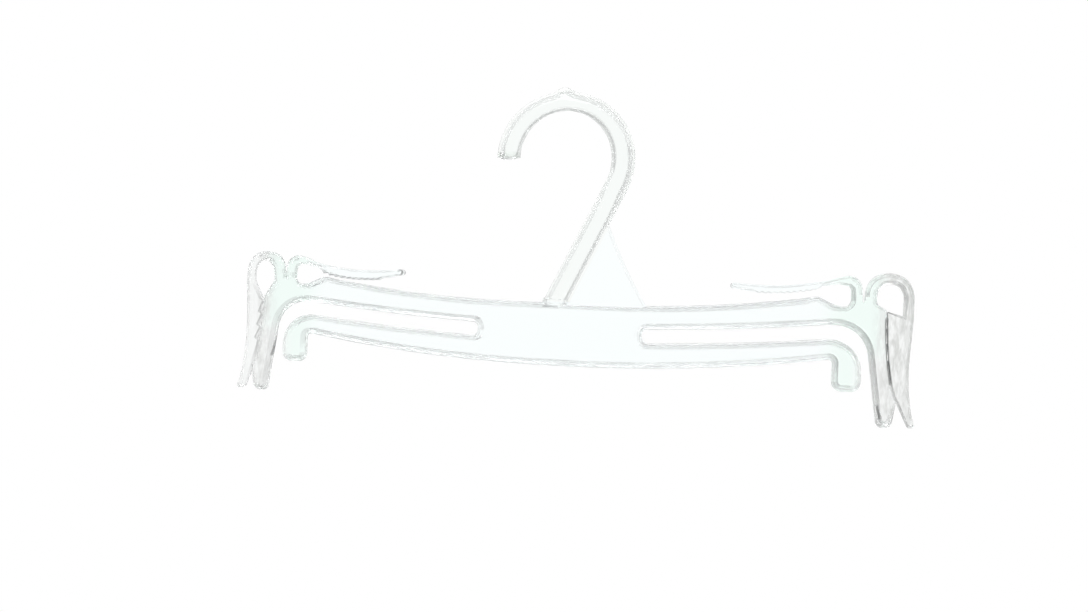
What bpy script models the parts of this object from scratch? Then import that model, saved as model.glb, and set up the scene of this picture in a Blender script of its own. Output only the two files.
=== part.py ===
"""Clear moulded hanger for delicates: hook, curved slotted beam and four sprung clips.

Units are metres. +X runs along the beam, +Z is up, and -Y is the front. The origin is the rail seat, the inside of
the hook's crown. Each end of the beam has a datum on the slit between its two clip posts, at the height of the
beam's top edge at the middle. What belongs to that end is placed from the datum: in or out along X, up or down in Z.
"""

import math

import bmesh
import bpy
from mathutils import Matrix, Vector

COLLECTION_NAME = "delicates_hanger"

# Clearance between pieces that were moulded as one
SEAM_GAP = 0.0003

# Faceting, in counts and degrees
FILLET_DEGREES = 20.0
SMOOTH_DEGREES = 35.0
RIM_SEGMENTS = 3
RAIL_STEPS = 13
SLOT_STEPS = 9
ARM_STEPS = 7
LOOP_STEPS = 8
NUB_STEPS = 3
HOOK_ARC_DEGREES = 9.0
HOOK_END_STEPS = 3
HOOK_SIDES_RESOLUTION = 2

# Plate, and the width of the rounded rims along its outline
PLATE_THICKNESS = 0.0046
PLATE_RIM_ROUND = 0.0024
POST_RIM_ROUND = 0.0018
SLIT_RIM_ROUND = 0.0003
STRIP_RIM_ROUND = 0.0017
JAW_RIM_ROUND = 0.0011
TOOTH_RIM_ROUND = 0.00035
RIM_SINK_SHARE = 0.92

# Largest rims beside a convex corner as a share of its radius, and on a strip as a share of its width
RIM_CORNER_SHARE = 0.92
RIM_WIDTH_SHARE = 0.42

# How fast the rims' width changes along an outline
RIM_SLOPE_SHARE = 0.5

# Hook
HOOK_INNER_RADIUS = 0.01895
HOOK_ROD_WIDTH = 0.0095
HOOK_CROWN_WIDTH = 0.0078
HOOK_ROD_DEPTH = 0.0086
HOOK_LEG_ANGLE = math.radians(63.8)
HOOK_END_ANGLE = math.radians(181.5)
HOOK_END_ROUND = 0.0028
HOOK_NUB_ANGLE = math.radians(93.0)
HOOK_NUB_LENGTH = 0.0112
HOOK_NUB_RISE = 0.0018
HOOK_DROP = 0.0764
HOOK_FOOT_LAP = 0.0018
HOOK_FOOT_OVERRUN = 0.0060

# Gusset
GUSSET_THICKNESS = 0.0014
GUSSET_RIM_ROUND = 0.0004
GUSSET_HEIGHT = 0.0315
GUSSET_REACH = 0.0352
GUSSET_BOW = 0.0008

# Beam
BEAM_HEIGHT = 0.0253
BEAM_TOP_FLAT = 0.020
BEAM_TOP_RISE = 0.0067
BEAM_BOTTOM_FLAT = 0.005
BEAM_BOTTOM_RISE = 0.0082
SLOT_HEIGHT = 0.0052
SLOT_INNER_REACH = 0.0339
SLOT_DOWN = 0.0099
SLOT_RISE = 0.0059
SLOT_END_ROUND = 0.0022

# Beam ends
END_REACH = 0.1194
PEAK_IN = 0.0174
PEAK_ROUND = 0.0022
RAIL_CUT_IN = 0.0110
RAIL_CUT_UP = 0.0038
SLOT_BEND_IN = 0.0124
LOWER_BEND_ROUND = 0.0125
CORNER_IN = 0.0110
CORNER_ROUND = 0.0014
FINGER_WIDTH = 0.0112
FINGER_DOWN = 0.0292
FINGER_ROUND = 0.0038

# Clip post and outer arm
NOTCH_FLOOR_IN = 0.0080
NOTCH_FLOOR_UP = 0.0032
EYE_FOOT_ROUND = 0.0028
POST_SLIT = 0.0006
POST_SLIT_FOOT_UP = 0.0052
SHOULDER_OUT = 0.0088
SHOULDER_UP = 0.0024
SHOULDER_ROUND = 0.0010
OUTER_EYE_FOOT_UP = 0.0046
ARM_BEND_OUT = 0.0008
ARM_BEND_ROUND = 0.0125
ARM_LEAN = 0.0034
ARM_LEAN_DOWN = 0.0300
ARM_WAIST_DOWN = 0.0294
ARM_BULGE_OUT = 0.0137
ARM_BULGE_DOWN = 0.0318
ARM_BULGE_ROUND = 0.0008
ARM_TIP_IN_EDGE_OUT = 0.0063
ARM_TIP_OUT_EDGE_OUT = 0.0120
ARM_TIP_DOWN = 0.0420
ARM_TIP_ROUND = 0.0027

# Inner clips
INNER_POST_WIDTH = 0.0045
INNER_CROWN_WIDTH = 0.0039
INNER_ROOT_WIDTH = 0.0027
INNER_NECK_WIDTH = 0.0021
INNER_ARM_WIDTH = 0.0027
INNER_FOOT_UP = 0.0079
INNER_CROWN_UP = 0.01305
INNER_LOOP_RADIUS = 0.00355
INNER_CROWN_LENGTH = 0.0031
INNER_ARM_LENGTH = 0.0422
INNER_ARM_DROP = 0.00345
INNER_ROOT_HANDLE = 0.0122
INNER_ROOT_FALL = 0.00315
INNER_TIP_HANDLE = 0.0185
INNER_TIP_FALL = 0.0019
INNER_NECK_OUT = 0.0050
INNER_BEAD_RADIUS = 0.0015
INNER_BEAD_FLARE = 0.0040
INNER_TEETH_COUNT = 10
INNER_TEETH_START = 0.0080
INNER_TEETH_END_IN = 0.0082
INNER_PAD_START = 0.0062
INNER_PIVOT_DOWN = 0.0010
LEFT_PAD_DEPTH = 0.0014
LEFT_TOOTH_DEPTH = 0.0009
RIGHT_PAD_DEPTH = 0.0001
RIGHT_TOOTH_DEPTH = 0.0004

# Outer clips
OUTER_POST_WIDTH = 0.0046
OUTER_SHOULDER_WIDTH = 0.0050
OUTER_CROWN_WIDTH = 0.0042
OUTER_SIDE_WIDTH = 0.0041
OUTER_FOOT_UP = 0.0073
OUTER_CROWN_UP = 0.0144
OUTER_LOOP_RADIUS = 0.0071
OUTER_SIDE_UP = 0.0064
OUTER_JAW_UP = 0.0020
OUTER_PIVOT_DOWN = 0.0026
JAW_CLEARANCE = 0.0005
JAW_TEETH_DOWN = 0.0005
JAW_TEETH_PITCH = 0.0060
JAW_TEETH_COUNT = 4
JAW_TOOTH_DEPTH = 0.0024
JAW_TOOTH_FACE = 0.0012
JAW_LAND_DOWN = 0.0237
JAW_THROAT_DOWN = 0.0292
JAW_TIP_DOWN = 0.0415
JAW_TIP_OUT = 0.0209
JAW_TIP_WIDTH = 0.0029
JAW_TIP_ROUND = 0.0010
JAW_BACK_FALL = 0.0153
JAW_BACK_LEAN = 0.0007
JAW_TIP_RISE = 0.0145
JAW_TIP_LEAN = 0.0047

# Clear polystyrene
PLASTIC_COLOUR = (0.92, 0.98, 0.97, 1.0)
PLASTIC_ROUGHNESS = 0.04
PLASTIC_IOR = 1.59

# Handles of a cubic curve that turns a quarter, as a share of its radius: a little square, as the loops are
LOOP_HANDLE_SHARE = 0.61

BEAM_TOP_Z = -HOOK_DROP
BEAM_BOTTOM_Z = BEAM_TOP_Z - BEAM_HEIGHT
PEAK_REACH = END_REACH - PEAK_IN
CORNER_REACH = END_REACH - CORNER_IN
RAIL_CUT_REACH = END_REACH - RAIL_CUT_IN
SLOT_BEND_REACH = END_REACH - SLOT_BEND_IN
INNER_POST_REACH = END_REACH - POST_SLIT / 2 - INNER_POST_WIDTH / 2
OUTER_POST_REACH = END_REACH + POST_SLIT / 2 + OUTER_POST_WIDTH / 2
INNER_LOOP_REACH = INNER_POST_REACH - INNER_LOOP_RADIUS
OUTER_LOOP_REACH = OUTER_POST_REACH + OUTER_LOOP_RADIUS
INNER_TEETH_PITCH = (INNER_ARM_LENGTH - INNER_TEETH_START - INNER_TEETH_END_IN) / INNER_TEETH_COUNT


def smile(x, flat, reach, rise):
    """Height gained by an edge that is flat at the middle and curves up to gain rise at reach."""
    return rise * (max(abs(x) - flat, 0.0) / (reach - flat)) ** 2


def beam_top(x):
    """Height of the beam's top edge."""
    return BEAM_TOP_Z + smile(x, BEAM_TOP_FLAT, PEAK_REACH, BEAM_TOP_RISE)


def beam_bottom(x):
    """Height of the beam's bottom edge."""
    return BEAM_BOTTOM_Z + smile(x, BEAM_BOTTOM_FLAT, CORNER_REACH, BEAM_BOTTOM_RISE)


def slot_top(x):
    """Height of a slot's upper edge."""
    return BEAM_TOP_Z - SLOT_DOWN + smile(x, 0.0, SLOT_BEND_REACH, SLOT_RISE)


def slot_bottom(x):
    """Height of a slot's lower edge."""
    return slot_top(x) - SLOT_HEIGHT


def arm_outer(down):
    """Reach of the outer arm's outer edge at a depth below the end's datum."""
    return END_REACH + SHOULDER_OUT + ARM_LEAN * (max(down, 0.0) / ARM_LEAN_DOWN) ** 2


def place(out, up):
    """X and Z of a place given from the right end's datum."""
    return END_REACH + out, BEAM_TOP_Z + up


def spread(start, end, steps):
    """Evenly spaced values from start to end, both included."""
    return [start + (end - start) * i / steps for i in range(steps + 1)]


def arc(centre, radius, start, end, steps):
    """Points on an arc, angles in radians."""
    return [(centre[0] + radius * math.cos(a), centre[1] + radius * math.sin(a)) for a in spread(start, end, steps)]


def bezier(p0, p1, p2, p3, steps):
    """Points on a cubic curve."""
    points = []
    for t in spread(0.0, 1.0, steps):
        s = 1.0 - t
        weights = (s * s * s, 3 * s * s * t, 3 * s * t * t, t * t * t)
        points.append(tuple(sum(w * p[k] for w, p in zip(weights, (p0, p1, p2, p3))) for k in (0, 1)))
    return points


def height_on(path, x):
    """Height of a path at x, read between its points."""
    for a, b in zip(path, path[1:]):
        low, high = sorted((a[0], b[0]))
        if low <= x <= high and high > low:
            return a[1] + (b[1] - a[1]) * (x - a[0]) / (b[0] - a[0])
    nearest = min(path, key=lambda point: abs(point[0] - x))
    return nearest[1]


def corner(x, z, turn=0.0, rim=PLATE_RIM_ROUND):
    """Corner of an outline: its place, its radius in the plane, and the rims' width from it to the next corner."""
    return x, z, turn, rim


def run(points, rim=PLATE_RIM_ROUND):
    """Corners without radius."""
    return [corner(x, z, 0.0, rim) for x, z in points]


def mirrored(corners):
    """Mirror image of all corners but the first and last, in the order that closes the outline."""
    return [(-corners[i][0], *corners[i][1:3], corners[i - 1][3]) for i in range(len(corners) - 2, 0, -1)]


def rounded_corner(corners, i, turning):
    """Points that round a corner, limited by its sides, and the largest width that rims may have there."""
    x, z, radius, _ = corners[i]
    here = Vector((x, z))
    before = Vector(corners[i - 1][:2]) - here
    after = Vector(corners[(i + 1) % len(corners)][:2]) - here
    if radius <= 0.0:
        return [(x, z)], math.inf
    half = before.angle(after) / 2
    setback = min(radius / math.tan(half), before.length, after.length)
    radius = setback * math.tan(half)
    centre = here + (before.normalized() + after.normalized()).normalized() * (radius / math.sin(half))
    first = here + before.normalized() * setback - centre
    last = here + after.normalized() * setback - centre
    turn = -first.angle_signed(last)
    steps = max(1, math.ceil(abs(math.degrees(turn)) / FILLET_DEGREES))
    begin = math.atan2(first.y, first.x)
    limit = RIM_CORNER_SHARE * radius if turn * turning > 0.0 else math.inf
    return arc((centre.x, centre.y), radius, begin, begin + turn, steps), limit


def traced(corners, side):
    """Points of a closed outline, anticlockwise seen from the front, and the rims' width on the edge after each.

    The corners are those of the right side (side 1), and are mirrored for the left (side -1).
    """
    area = sum(a[0] * b[1] - b[0] * a[1] for a, b in zip(corners, corners[1:] + corners[:1]))
    turning = math.copysign(1.0, area)
    points = []
    rims = []
    for i, (_, _, _, rim) in enumerate(corners):
        rounded, limit = rounded_corner(corners, i, turning)
        for point in rounded:
            if points and math.dist(point, points[-1]) < SEAM_GAP / 10:
                rims[-1] = min(rims[-1], rim, limit)
            else:
                points.append(point)
                rims.append(min(rim, limit))
    if math.dist(points[0], points[-1]) < SEAM_GAP / 10:
        points.pop()
        rims.pop()
    points = [(side * x, z) for x, z in points]
    if turning * side < 0:
        count = len(points)
        points = points[::-1]
        rims = [rims[(count - 2 - i) % count] for i in range(count)]
    return points, rims


def rim_ways(points, edge_rims):
    """For each point of an outline, the way in which its rims move it inwards, and the rims' width there.

    A stretch with a rim of 0 is a seam: the points at its ends move along it, so the section shows there.
    """
    count = len(points)
    along = [(Vector(points[(i + 1) % count]) - Vector(points[i])).normalized() for i in range(count)]
    ways = []
    rims = []
    for i in range(count):
        before, after = edge_rims[i - 1], edge_rims[i]
        first = Vector((-along[i - 1].y, along[i - 1].x))
        last = Vector((-along[i].y, along[i].x))
        if after <= 0.0:
            ways.append(along[i] / along[i].dot(first))
        elif before <= 0.0:
            ways.append(along[i - 1] / along[i - 1].dot(last))
        else:
            ways.append((first + last) / (1.0 + first.dot(last)))
        rims.append(min(rim for rim in (before, after) if rim > 0.0))
    for way in (1, -1):
        for step in range(2 * count):
            i = (way * step) % count
            j = (i - way) % count
            rims[i] = min(rims[i], rims[j] + RIM_SLOPE_SHARE * math.dist(points[i], points[j]))
    return ways, rims


def strip_sides(path, widths):
    """Both sides of a strip, from its middle line and its width at each point: its left, seen along it, and right."""
    left = []
    right = []
    last = len(path) - 1
    for i, (point, width) in enumerate(zip(path, widths)):
        along = Vector(path[min(i + 1, last)]) - Vector(path[max(i - 1, 0)])
        across = Vector((-along.y, along.x)).normalized() * width / 2
        left.append((point[0] + across.x, point[1] + across.y))
        right.append((point[0] - across.x, point[1] - across.y))
    return left, right


def strip_corners(path, widths):
    """Corners of a strip whose two ends are seams."""
    left, right = strip_sides(path, widths)
    rims = [min(STRIP_RIM_ROUND, RIM_WIDTH_SHARE * width) for width in widths]
    corners = [corner(x, z, 0.0, min(pair)) for (x, z), pair in zip(left, zip(rims, rims[1:]))]
    corners.append(corner(*left[-1], rim=0.0))
    corners += [corner(x, z, 0.0, min(pair)) for (x, z), pair in zip(right[::-1], zip(rims[::-1], rims[-2::-1]))]
    corners.append(corner(*right[0], rim=0.0))
    return corners


def blended(stops, count):
    """Values that run in even steps through the stops."""
    values = []
    for i in range(count):
        place_in = i * (len(stops) - 1) / (count - 1)
        first = min(int(place_in), len(stops) - 2)
        values.append(stops[first] + (stops[first + 1] - stops[first]) * (place_in - first))
    return values


def clear_scene():
    """Removes what the scene holds."""
    for obj in list(bpy.data.objects):
        bpy.data.objects.remove(obj)


def new_collection(name):
    """A collection in the scene."""
    collection = bpy.data.collections.new(name)
    bpy.context.scene.collection.children.link(collection)
    return collection


def clear_plastic(name):
    """Material of one moulded piece."""
    material = bpy.data.materials.new(name + "_polystyrene")
    material.use_nodes = True
    shader = material.node_tree.nodes["Principled BSDF"]
    shader.inputs["Base Color"].default_value = PLASTIC_COLOUR
    shader.inputs["Metallic"].default_value = 0.0
    shader.inputs["Roughness"].default_value = PLASTIC_ROUGHNESS
    shader.inputs["IOR"].default_value = PLASTIC_IOR
    shader.inputs["Transmission Weight"].default_value = 1.0
    return material


def mesh_from_curve(name, curve, matrix):
    """A mesh object from a curve's evaluated shape, with its caps welded and its flat faces whole."""
    guide = bpy.data.objects.new(name + "_guide", curve)
    bpy.context.scene.collection.objects.link(guide)
    guide.matrix_world = matrix
    bpy.context.view_layer.update()
    graph = bpy.context.evaluated_depsgraph_get()
    mesh = bpy.data.meshes.new_from_object(guide.evaluated_get(graph))
    mesh.name = name
    bm = bmesh.new()
    bm.from_mesh(mesh)
    bmesh.ops.remove_doubles(bm, verts=bm.verts, dist=SEAM_GAP / 30)
    bmesh.ops.dissolve_limit(bm, angle_limit=math.radians(0.05), verts=bm.verts, edges=bm.edges)
    bm.to_mesh(mesh)
    bm.free()
    obj = bpy.data.objects.new(name, mesh)
    obj.matrix_world = matrix
    bpy.data.objects.remove(guide)
    bpy.data.curves.remove(curve)
    return obj


def finish(obj, collection):
    """Links a part, gives it its material and shades its round faces smooth."""
    collection.objects.link(obj)
    obj.data.materials.clear()
    obj.data.materials.append(clear_plastic(obj.name))
    obj.data.shade_smooth()
    obj.data.set_sharp_from_angle(angle=math.radians(SMOOTH_DEGREES))
    return obj


def rim_rings(thickness):
    """Rings that the rims go through, front to back: the face's Y, and the ring's sink and inset as shares of a rim.

    A rim falls away from the face in a parabola, so a fine crease shows where it starts.
    """
    shares = spread(0.0, 1.0, RIM_SEGMENTS)
    front = [(-thickness / 2, RIM_SINK_SHARE * share, (1.0 - share) ** 2) for share in shares]
    back = [(thickness / 2, -RIM_SINK_SHARE * share, (1.0 - share) ** 2) for share in shares[::-1]]
    return front + back


def flat_piece(name, corners, thickness, collection, side=1, pivot=(0.0, 0.0)):
    """A flat moulded piece from its outline in X and Z, with rounded rims and its origin at the pivot."""
    points, edge_rims = traced(corners, side)
    ways, rims = rim_ways(points, edge_rims)
    origin = Vector((side * pivot[0], 0.0, pivot[1]))
    bm = bmesh.new()
    rings = []
    for face_y, sink_share, inset_share in rim_rings(thickness):
        ring = []
        for (x, z), way, rim in zip(points, ways, rims):
            inset = way * rim * inset_share
            spot = Vector((x + inset.x, face_y + rim * sink_share, z + inset.y))
            ring.append(bm.verts.new(spot - origin))
        rings.append(ring)
    for front, back in zip(rings, rings[1:]):
        for i in range(len(points)):
            bm.faces.new((front[i - 1], front[i], back[i], back[i - 1]))
    bm.faces.new(rings[0])
    bm.faces.new(rings[-1])
    bmesh.ops.recalc_face_normals(bm, faces=bm.faces)
    mesh = bpy.data.meshes.new(name)
    bm.to_mesh(mesh)
    bm.free()
    obj = bpy.data.objects.new(name, mesh)
    obj.location = origin
    return finish(obj, collection)


def beam_corners_right():
    """Corners of the beam's right half, from the bottom middle round to the top middle."""
    corners = run([(x, beam_bottom(x)) for x in spread(0.0, CORNER_REACH, RAIL_STEPS)[:-1]])
    finger_outer = CORNER_REACH + FINGER_WIDTH
    finger_bottom = BEAM_TOP_Z - FINGER_DOWN
    corners.append(corner(CORNER_REACH, beam_bottom(CORNER_REACH), CORNER_ROUND))
    corners.append(corner(CORNER_REACH, finger_bottom, FINGER_ROUND))
    corners.append(corner(finger_outer, finger_bottom, FINGER_ROUND))
    corners.append(corner(finger_outer, slot_bottom(SLOT_BEND_REACH), LOWER_BEND_ROUND))
    slot_reaches = spread(SLOT_INNER_REACH, SLOT_BEND_REACH, SLOT_STEPS)
    corners += run([(x, slot_bottom(x)) for x in slot_reaches[-2:0:-1]])
    corners.append(corner(SLOT_INNER_REACH, slot_bottom(SLOT_INNER_REACH), SLOT_END_ROUND))
    corners.append(corner(SLOT_INNER_REACH, slot_top(SLOT_INNER_REACH), SLOT_END_ROUND))
    corners += run([(x, slot_top(x)) for x in slot_reaches[1:]])
    corners.append(corner(RAIL_CUT_REACH, slot_top(SLOT_BEND_REACH), rim=0.0))
    corners.append(corner(RAIL_CUT_REACH, BEAM_TOP_Z + RAIL_CUT_UP))
    corners.append(corner(PEAK_REACH, beam_top(PEAK_REACH), PEAK_ROUND))
    corners += run([(x, beam_top(x)) for x in spread(PEAK_REACH, 0.0, RAIL_STEPS)[1:]])
    return corners


def make_beam(collection):
    """Centre plate with its rails, open-ended slots and strap fingers."""
    right = beam_corners_right()
    return flat_piece("beam", right + mirrored(right), PLATE_THICKNESS, collection)


def outer_arm_corners():
    """Corners of a right outer arm, from its seam with the upper rail down to the tip and up to the clip posts."""
    seam = RAIL_CUT_REACH + SEAM_GAP
    slot_side = slot_top(SLOT_BEND_REACH)
    corners = [corner(seam, slot_side)]
    corners.append(corner(END_REACH + ARM_BEND_OUT, slot_side, ARM_BEND_ROUND))
    corners.append(corner(*place(ARM_TIP_IN_EDGE_OUT, -ARM_TIP_DOWN), ARM_TIP_ROUND))
    corners.append(corner(*place(ARM_TIP_OUT_EDGE_OUT, -ARM_TIP_DOWN), ARM_TIP_ROUND))
    corners.append(corner(*place(ARM_BULGE_OUT, -ARM_BULGE_DOWN), ARM_BULGE_ROUND))
    corners += run([(arm_outer(down), BEAM_TOP_Z - down) for down in spread(ARM_WAIST_DOWN, 0.0, ARM_STEPS)])
    corners.append(corner(*place(SHOULDER_OUT, SHOULDER_UP), SHOULDER_ROUND))
    outer_post_side = OUTER_POST_REACH + OUTER_POST_WIDTH / 2
    corners.append(corner(outer_post_side, BEAM_TOP_Z + OUTER_EYE_FOOT_UP, EYE_FOOT_ROUND, POST_RIM_ROUND))
    corners.append(corner(outer_post_side, BEAM_TOP_Z + OUTER_FOOT_UP - SEAM_GAP, rim=0.0))
    corners.append(corner(*place(POST_SLIT / 2, OUTER_FOOT_UP - SEAM_GAP), rim=SLIT_RIM_ROUND))
    corners.append(corner(*place(POST_SLIT / 2, POST_SLIT_FOOT_UP), rim=SLIT_RIM_ROUND))
    corners.append(corner(*place(-POST_SLIT / 2, POST_SLIT_FOOT_UP), rim=SLIT_RIM_ROUND))
    corners.append(corner(*place(-POST_SLIT / 2, INNER_FOOT_UP - SEAM_GAP), rim=0.0))
    inner_post_side = INNER_POST_REACH - INNER_POST_WIDTH / 2
    corners.append(corner(inner_post_side, BEAM_TOP_Z + INNER_FOOT_UP - SEAM_GAP, rim=POST_RIM_ROUND))
    corners.append(corner(inner_post_side, BEAM_TOP_Z + NOTCH_FLOOR_UP, EYE_FOOT_ROUND, POST_RIM_ROUND))
    corners.append(corner(*place(-NOTCH_FLOOR_IN, NOTCH_FLOOR_UP)))
    corners.append(corner(seam, BEAM_TOP_Z + RAIL_CUT_UP, rim=0.0))
    return corners


def make_outer_arm(name, side, collection):
    """End of the beam: the forked clip post, the shoulder and the arm that the outer clip closes on."""
    return flat_piece(name, outer_arm_corners(), PLATE_THICKNESS, collection, side)


def inner_crown():
    """Middle of the inner loop's crown."""
    return INNER_LOOP_REACH, BEAM_TOP_Z + INNER_CROWN_UP


def outer_crown():
    """Middle of the outer loop's crown."""
    return OUTER_LOOP_REACH, BEAM_TOP_Z + OUTER_CROWN_UP


def inner_pivot():
    """Where an inner clip arm turns: just under its loop's crown."""
    x, z = inner_crown()
    return x, z - INNER_PIVOT_DOWN


def outer_pivot():
    """Where an outer clip arm turns: just under its loop's crown."""
    x, z = outer_crown()
    return x, z - OUTER_PIVOT_DOWN


def make_inner_spring(name, side, collection):
    """Loop that rises from the inner clip post and turns inwards."""
    foot = (INNER_POST_REACH, BEAM_TOP_Z + INNER_FOOT_UP)
    crown = inner_crown()
    root = (crown[0] - INNER_CROWN_LENGTH, crown[1])
    rise = (crown[1] - foot[1]) * LOOP_HANDLE_SHARE
    reach = (foot[0] - crown[0]) * LOOP_HANDLE_SHARE
    path = bezier(foot, (foot[0], foot[1] + rise), (crown[0] + reach, crown[1]), crown, LOOP_STEPS)
    widths = blended([INNER_POST_WIDTH, INNER_POST_WIDTH, INNER_CROWN_WIDTH], len(path))
    corners = strip_corners(path + [root], widths + [INNER_ROOT_WIDTH])
    return flat_piece(name, corners, PLATE_THICKNESS, collection, side, inner_pivot())


def make_outer_spring(name, side, collection):
    """Loop that rises from the outer clip post and turns outwards and down."""
    foot = (OUTER_POST_REACH, BEAM_TOP_Z + OUTER_FOOT_UP)
    crown = outer_crown()
    flank = (crown[0] + OUTER_LOOP_RADIUS, BEAM_TOP_Z + OUTER_SIDE_UP)
    jaw = (flank[0], BEAM_TOP_Z + OUTER_JAW_UP)
    rise = (crown[1] - foot[1]) * LOOP_HANDLE_SHARE
    reach = OUTER_LOOP_RADIUS * LOOP_HANDLE_SHARE
    fall = (crown[1] - flank[1]) * LOOP_HANDLE_SHARE
    up = bezier(foot, (foot[0], foot[1] + rise), (crown[0] - reach, crown[1]), crown, LOOP_STEPS)
    over = bezier(crown, (crown[0] + reach, crown[1]), (flank[0], flank[1] + fall), flank, LOOP_STEPS)
    widths = blended([OUTER_POST_WIDTH, OUTER_SHOULDER_WIDTH, OUTER_CROWN_WIDTH], len(up))
    widths += blended([OUTER_CROWN_WIDTH, OUTER_SIDE_WIDTH], len(over))[1:]
    corners = strip_corners(up + over[1:] + [jaw], widths + [OUTER_SIDE_WIDTH])
    return flat_piece(name, corners, PLATE_THICKNESS, collection, side, outer_pivot())


def inner_arm_middle():
    """Middle line of an inner clip arm, from its root out to the centre of its bead."""
    crown = inner_crown()
    root = (crown[0] - INNER_CROWN_LENGTH - SEAM_GAP, crown[1])
    tip = (root[0] - INNER_ARM_LENGTH, root[1] - INNER_ARM_DROP)
    root_handle = (root[0] - INNER_ROOT_HANDLE, root[1] - INNER_ROOT_FALL)
    tip_handle = (tip[0] + INNER_TIP_HANDLE, tip[1] - INNER_TIP_FALL)
    return bezier(root, root_handle, tip_handle, tip, 2 * LOOP_STEPS)


def inner_arm_width(distance):
    """Width of an inner clip arm at a distance from its root: it narrows to the neck, and widens to its bead."""
    if distance < INNER_NECK_OUT:
        share = distance / INNER_NECK_OUT
        return INNER_ROOT_WIDTH + (INNER_NECK_WIDTH - INNER_ROOT_WIDTH) * share
    share = min((distance - INNER_NECK_OUT) / INNER_NECK_OUT, 1.0)
    width = INNER_NECK_WIDTH + (INNER_ARM_WIDTH - INNER_NECK_WIDTH) * share
    flare = max(1.0 - (INNER_ARM_LENGTH - distance) / INNER_BEAD_FLARE, 0.0)
    return width + (INNER_BEAD_RADIUS * 2 - INNER_ARM_WIDTH) * flare


def make_inner_arm(name, side, pad_depth, tooth_depth, collection):
    """Jaw arm that lies along the beam's top edge, with fine teeth below and a round bead at its end."""
    middle = inner_arm_middle()
    root, tip = middle[0], middle[-1]
    pad_end = INNER_ARM_LENGTH - INNER_BEAD_RADIUS
    rim = RIM_WIDTH_SHARE * INNER_NECK_WIDTH
    top = [(x, z + inner_arm_width(root[0] - x) / 2) for x, z in middle[:-1]]
    bead = arc(tip, INNER_BEAD_RADIUS, math.radians(95.0), math.radians(265.0), LOOP_STEPS)

    def underside(distance, tooth):
        """Point of the underside at a distance from the root."""
        x = root[0] - distance
        share = (distance - INNER_PAD_START) / (pad_end - INNER_PAD_START)
        pad = pad_depth * max(1.0 - (2.0 * share - 1.0) ** 4, 0.0)
        return x, height_on(middle, x) - inner_arm_width(distance) / 2 - pad - tooth

    teeth_end = INNER_TEETH_START + INNER_TEETH_COUNT * INNER_TEETH_PITCH
    teeth = [underside(INNER_TEETH_START, 0.0)]
    for i in range(INNER_TEETH_COUNT):
        start = INNER_TEETH_START + i * INNER_TEETH_PITCH
        teeth.append(underside(start + INNER_TEETH_PITCH / 4, tooth_depth))
        teeth.append(underside(start + INNER_TEETH_PITCH, 0.0))
    after = [underside(distance, 0.0) for distance in spread(teeth_end, pad_end, 3)[1:]]
    before = [underside(distance, 0.0) for distance in spread(0.0, INNER_TEETH_START, 3)[:-1]]
    corners = run(top + bead + after[::-1], rim)
    corners += run(teeth[::-1], TOOTH_RIM_ROUND)
    corners += run(before[:0:-1], rim)
    corners.append(corner(*before[0], rim=0.0))
    return flat_piece(name, corners, PLATE_THICKNESS, collection, side, inner_pivot())


def jaw_corners():
    """Corners of a right outer clip arm, from its seam with the loop down the toothed side and up the back."""
    seam = BEAM_TOP_Z + OUTER_JAW_UP - SEAM_GAP
    middle = outer_crown()[0] + OUTER_LOOP_RADIUS
    inner_side = middle - OUTER_SIDE_WIDTH / 2
    outer_side = middle + OUTER_SIDE_WIDTH / 2
    corners = [corner(inner_side, seam, rim=TOOTH_RIM_ROUND)]
    for i in range(JAW_TEETH_COUNT):
        down = JAW_TEETH_DOWN + i * JAW_TEETH_PITCH
        tip = arm_outer(down) + JAW_CLEARANCE
        valley = min(tip + JAW_TOOTH_DEPTH, inner_side)
        corners += run([(valley, BEAM_TOP_Z - down + JAW_TOOTH_FACE), (tip, BEAM_TOP_Z - down)], TOOTH_RIM_ROUND)
    for down in (JAW_LAND_DOWN, JAW_THROAT_DOWN):
        corners.append(corner(arm_outer(down) + JAW_CLEARANCE, BEAM_TOP_Z - down, JAW_TIP_ROUND, JAW_RIM_ROUND))
    tip = place(JAW_TIP_OUT, -JAW_TIP_DOWN)
    corners.append(corner(tip[0] - JAW_TIP_WIDTH, tip[1], JAW_TIP_ROUND, JAW_RIM_ROUND))
    corners.append(corner(*tip, JAW_TIP_ROUND, JAW_RIM_ROUND))
    back = bezier(
        tip,
        (tip[0] - JAW_TIP_LEAN, tip[1] + JAW_TIP_RISE),
        (outer_side - JAW_BACK_LEAN, seam - JAW_BACK_FALL),
        (outer_side, seam),
        2 * ARM_STEPS,
    )
    corners += run(back[1:-1], JAW_RIM_ROUND)
    corners.append(corner(*back[-1], rim=0.0))
    return corners


def make_outer_jaw(name, side, collection):
    """Jaw arm that hangs outside the outer arm, with saw teeth facing it and a flared tip."""
    return flat_piece(name, jaw_corners(), PLATE_THICKNESS, collection, side, outer_pivot())


def leg_edge(height, side):
    """X of the leg's left (side -1) or right (side 1) edge at a world height."""
    centre_radius = HOOK_INNER_RADIUS + HOOK_ROD_WIDTH / 2
    turn = HOOK_LEG_ANGLE - math.radians(90.0)
    start_x = centre_radius * math.cos(turn)
    start_z = centre_radius * math.sin(turn) - HOOK_INNER_RADIUS
    middle = start_x + (height - start_z) / math.tan(HOOK_LEG_ANGLE)
    return middle + side * HOOK_ROD_WIDTH / 2 / math.sin(HOOK_LEG_ANGLE)


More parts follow.
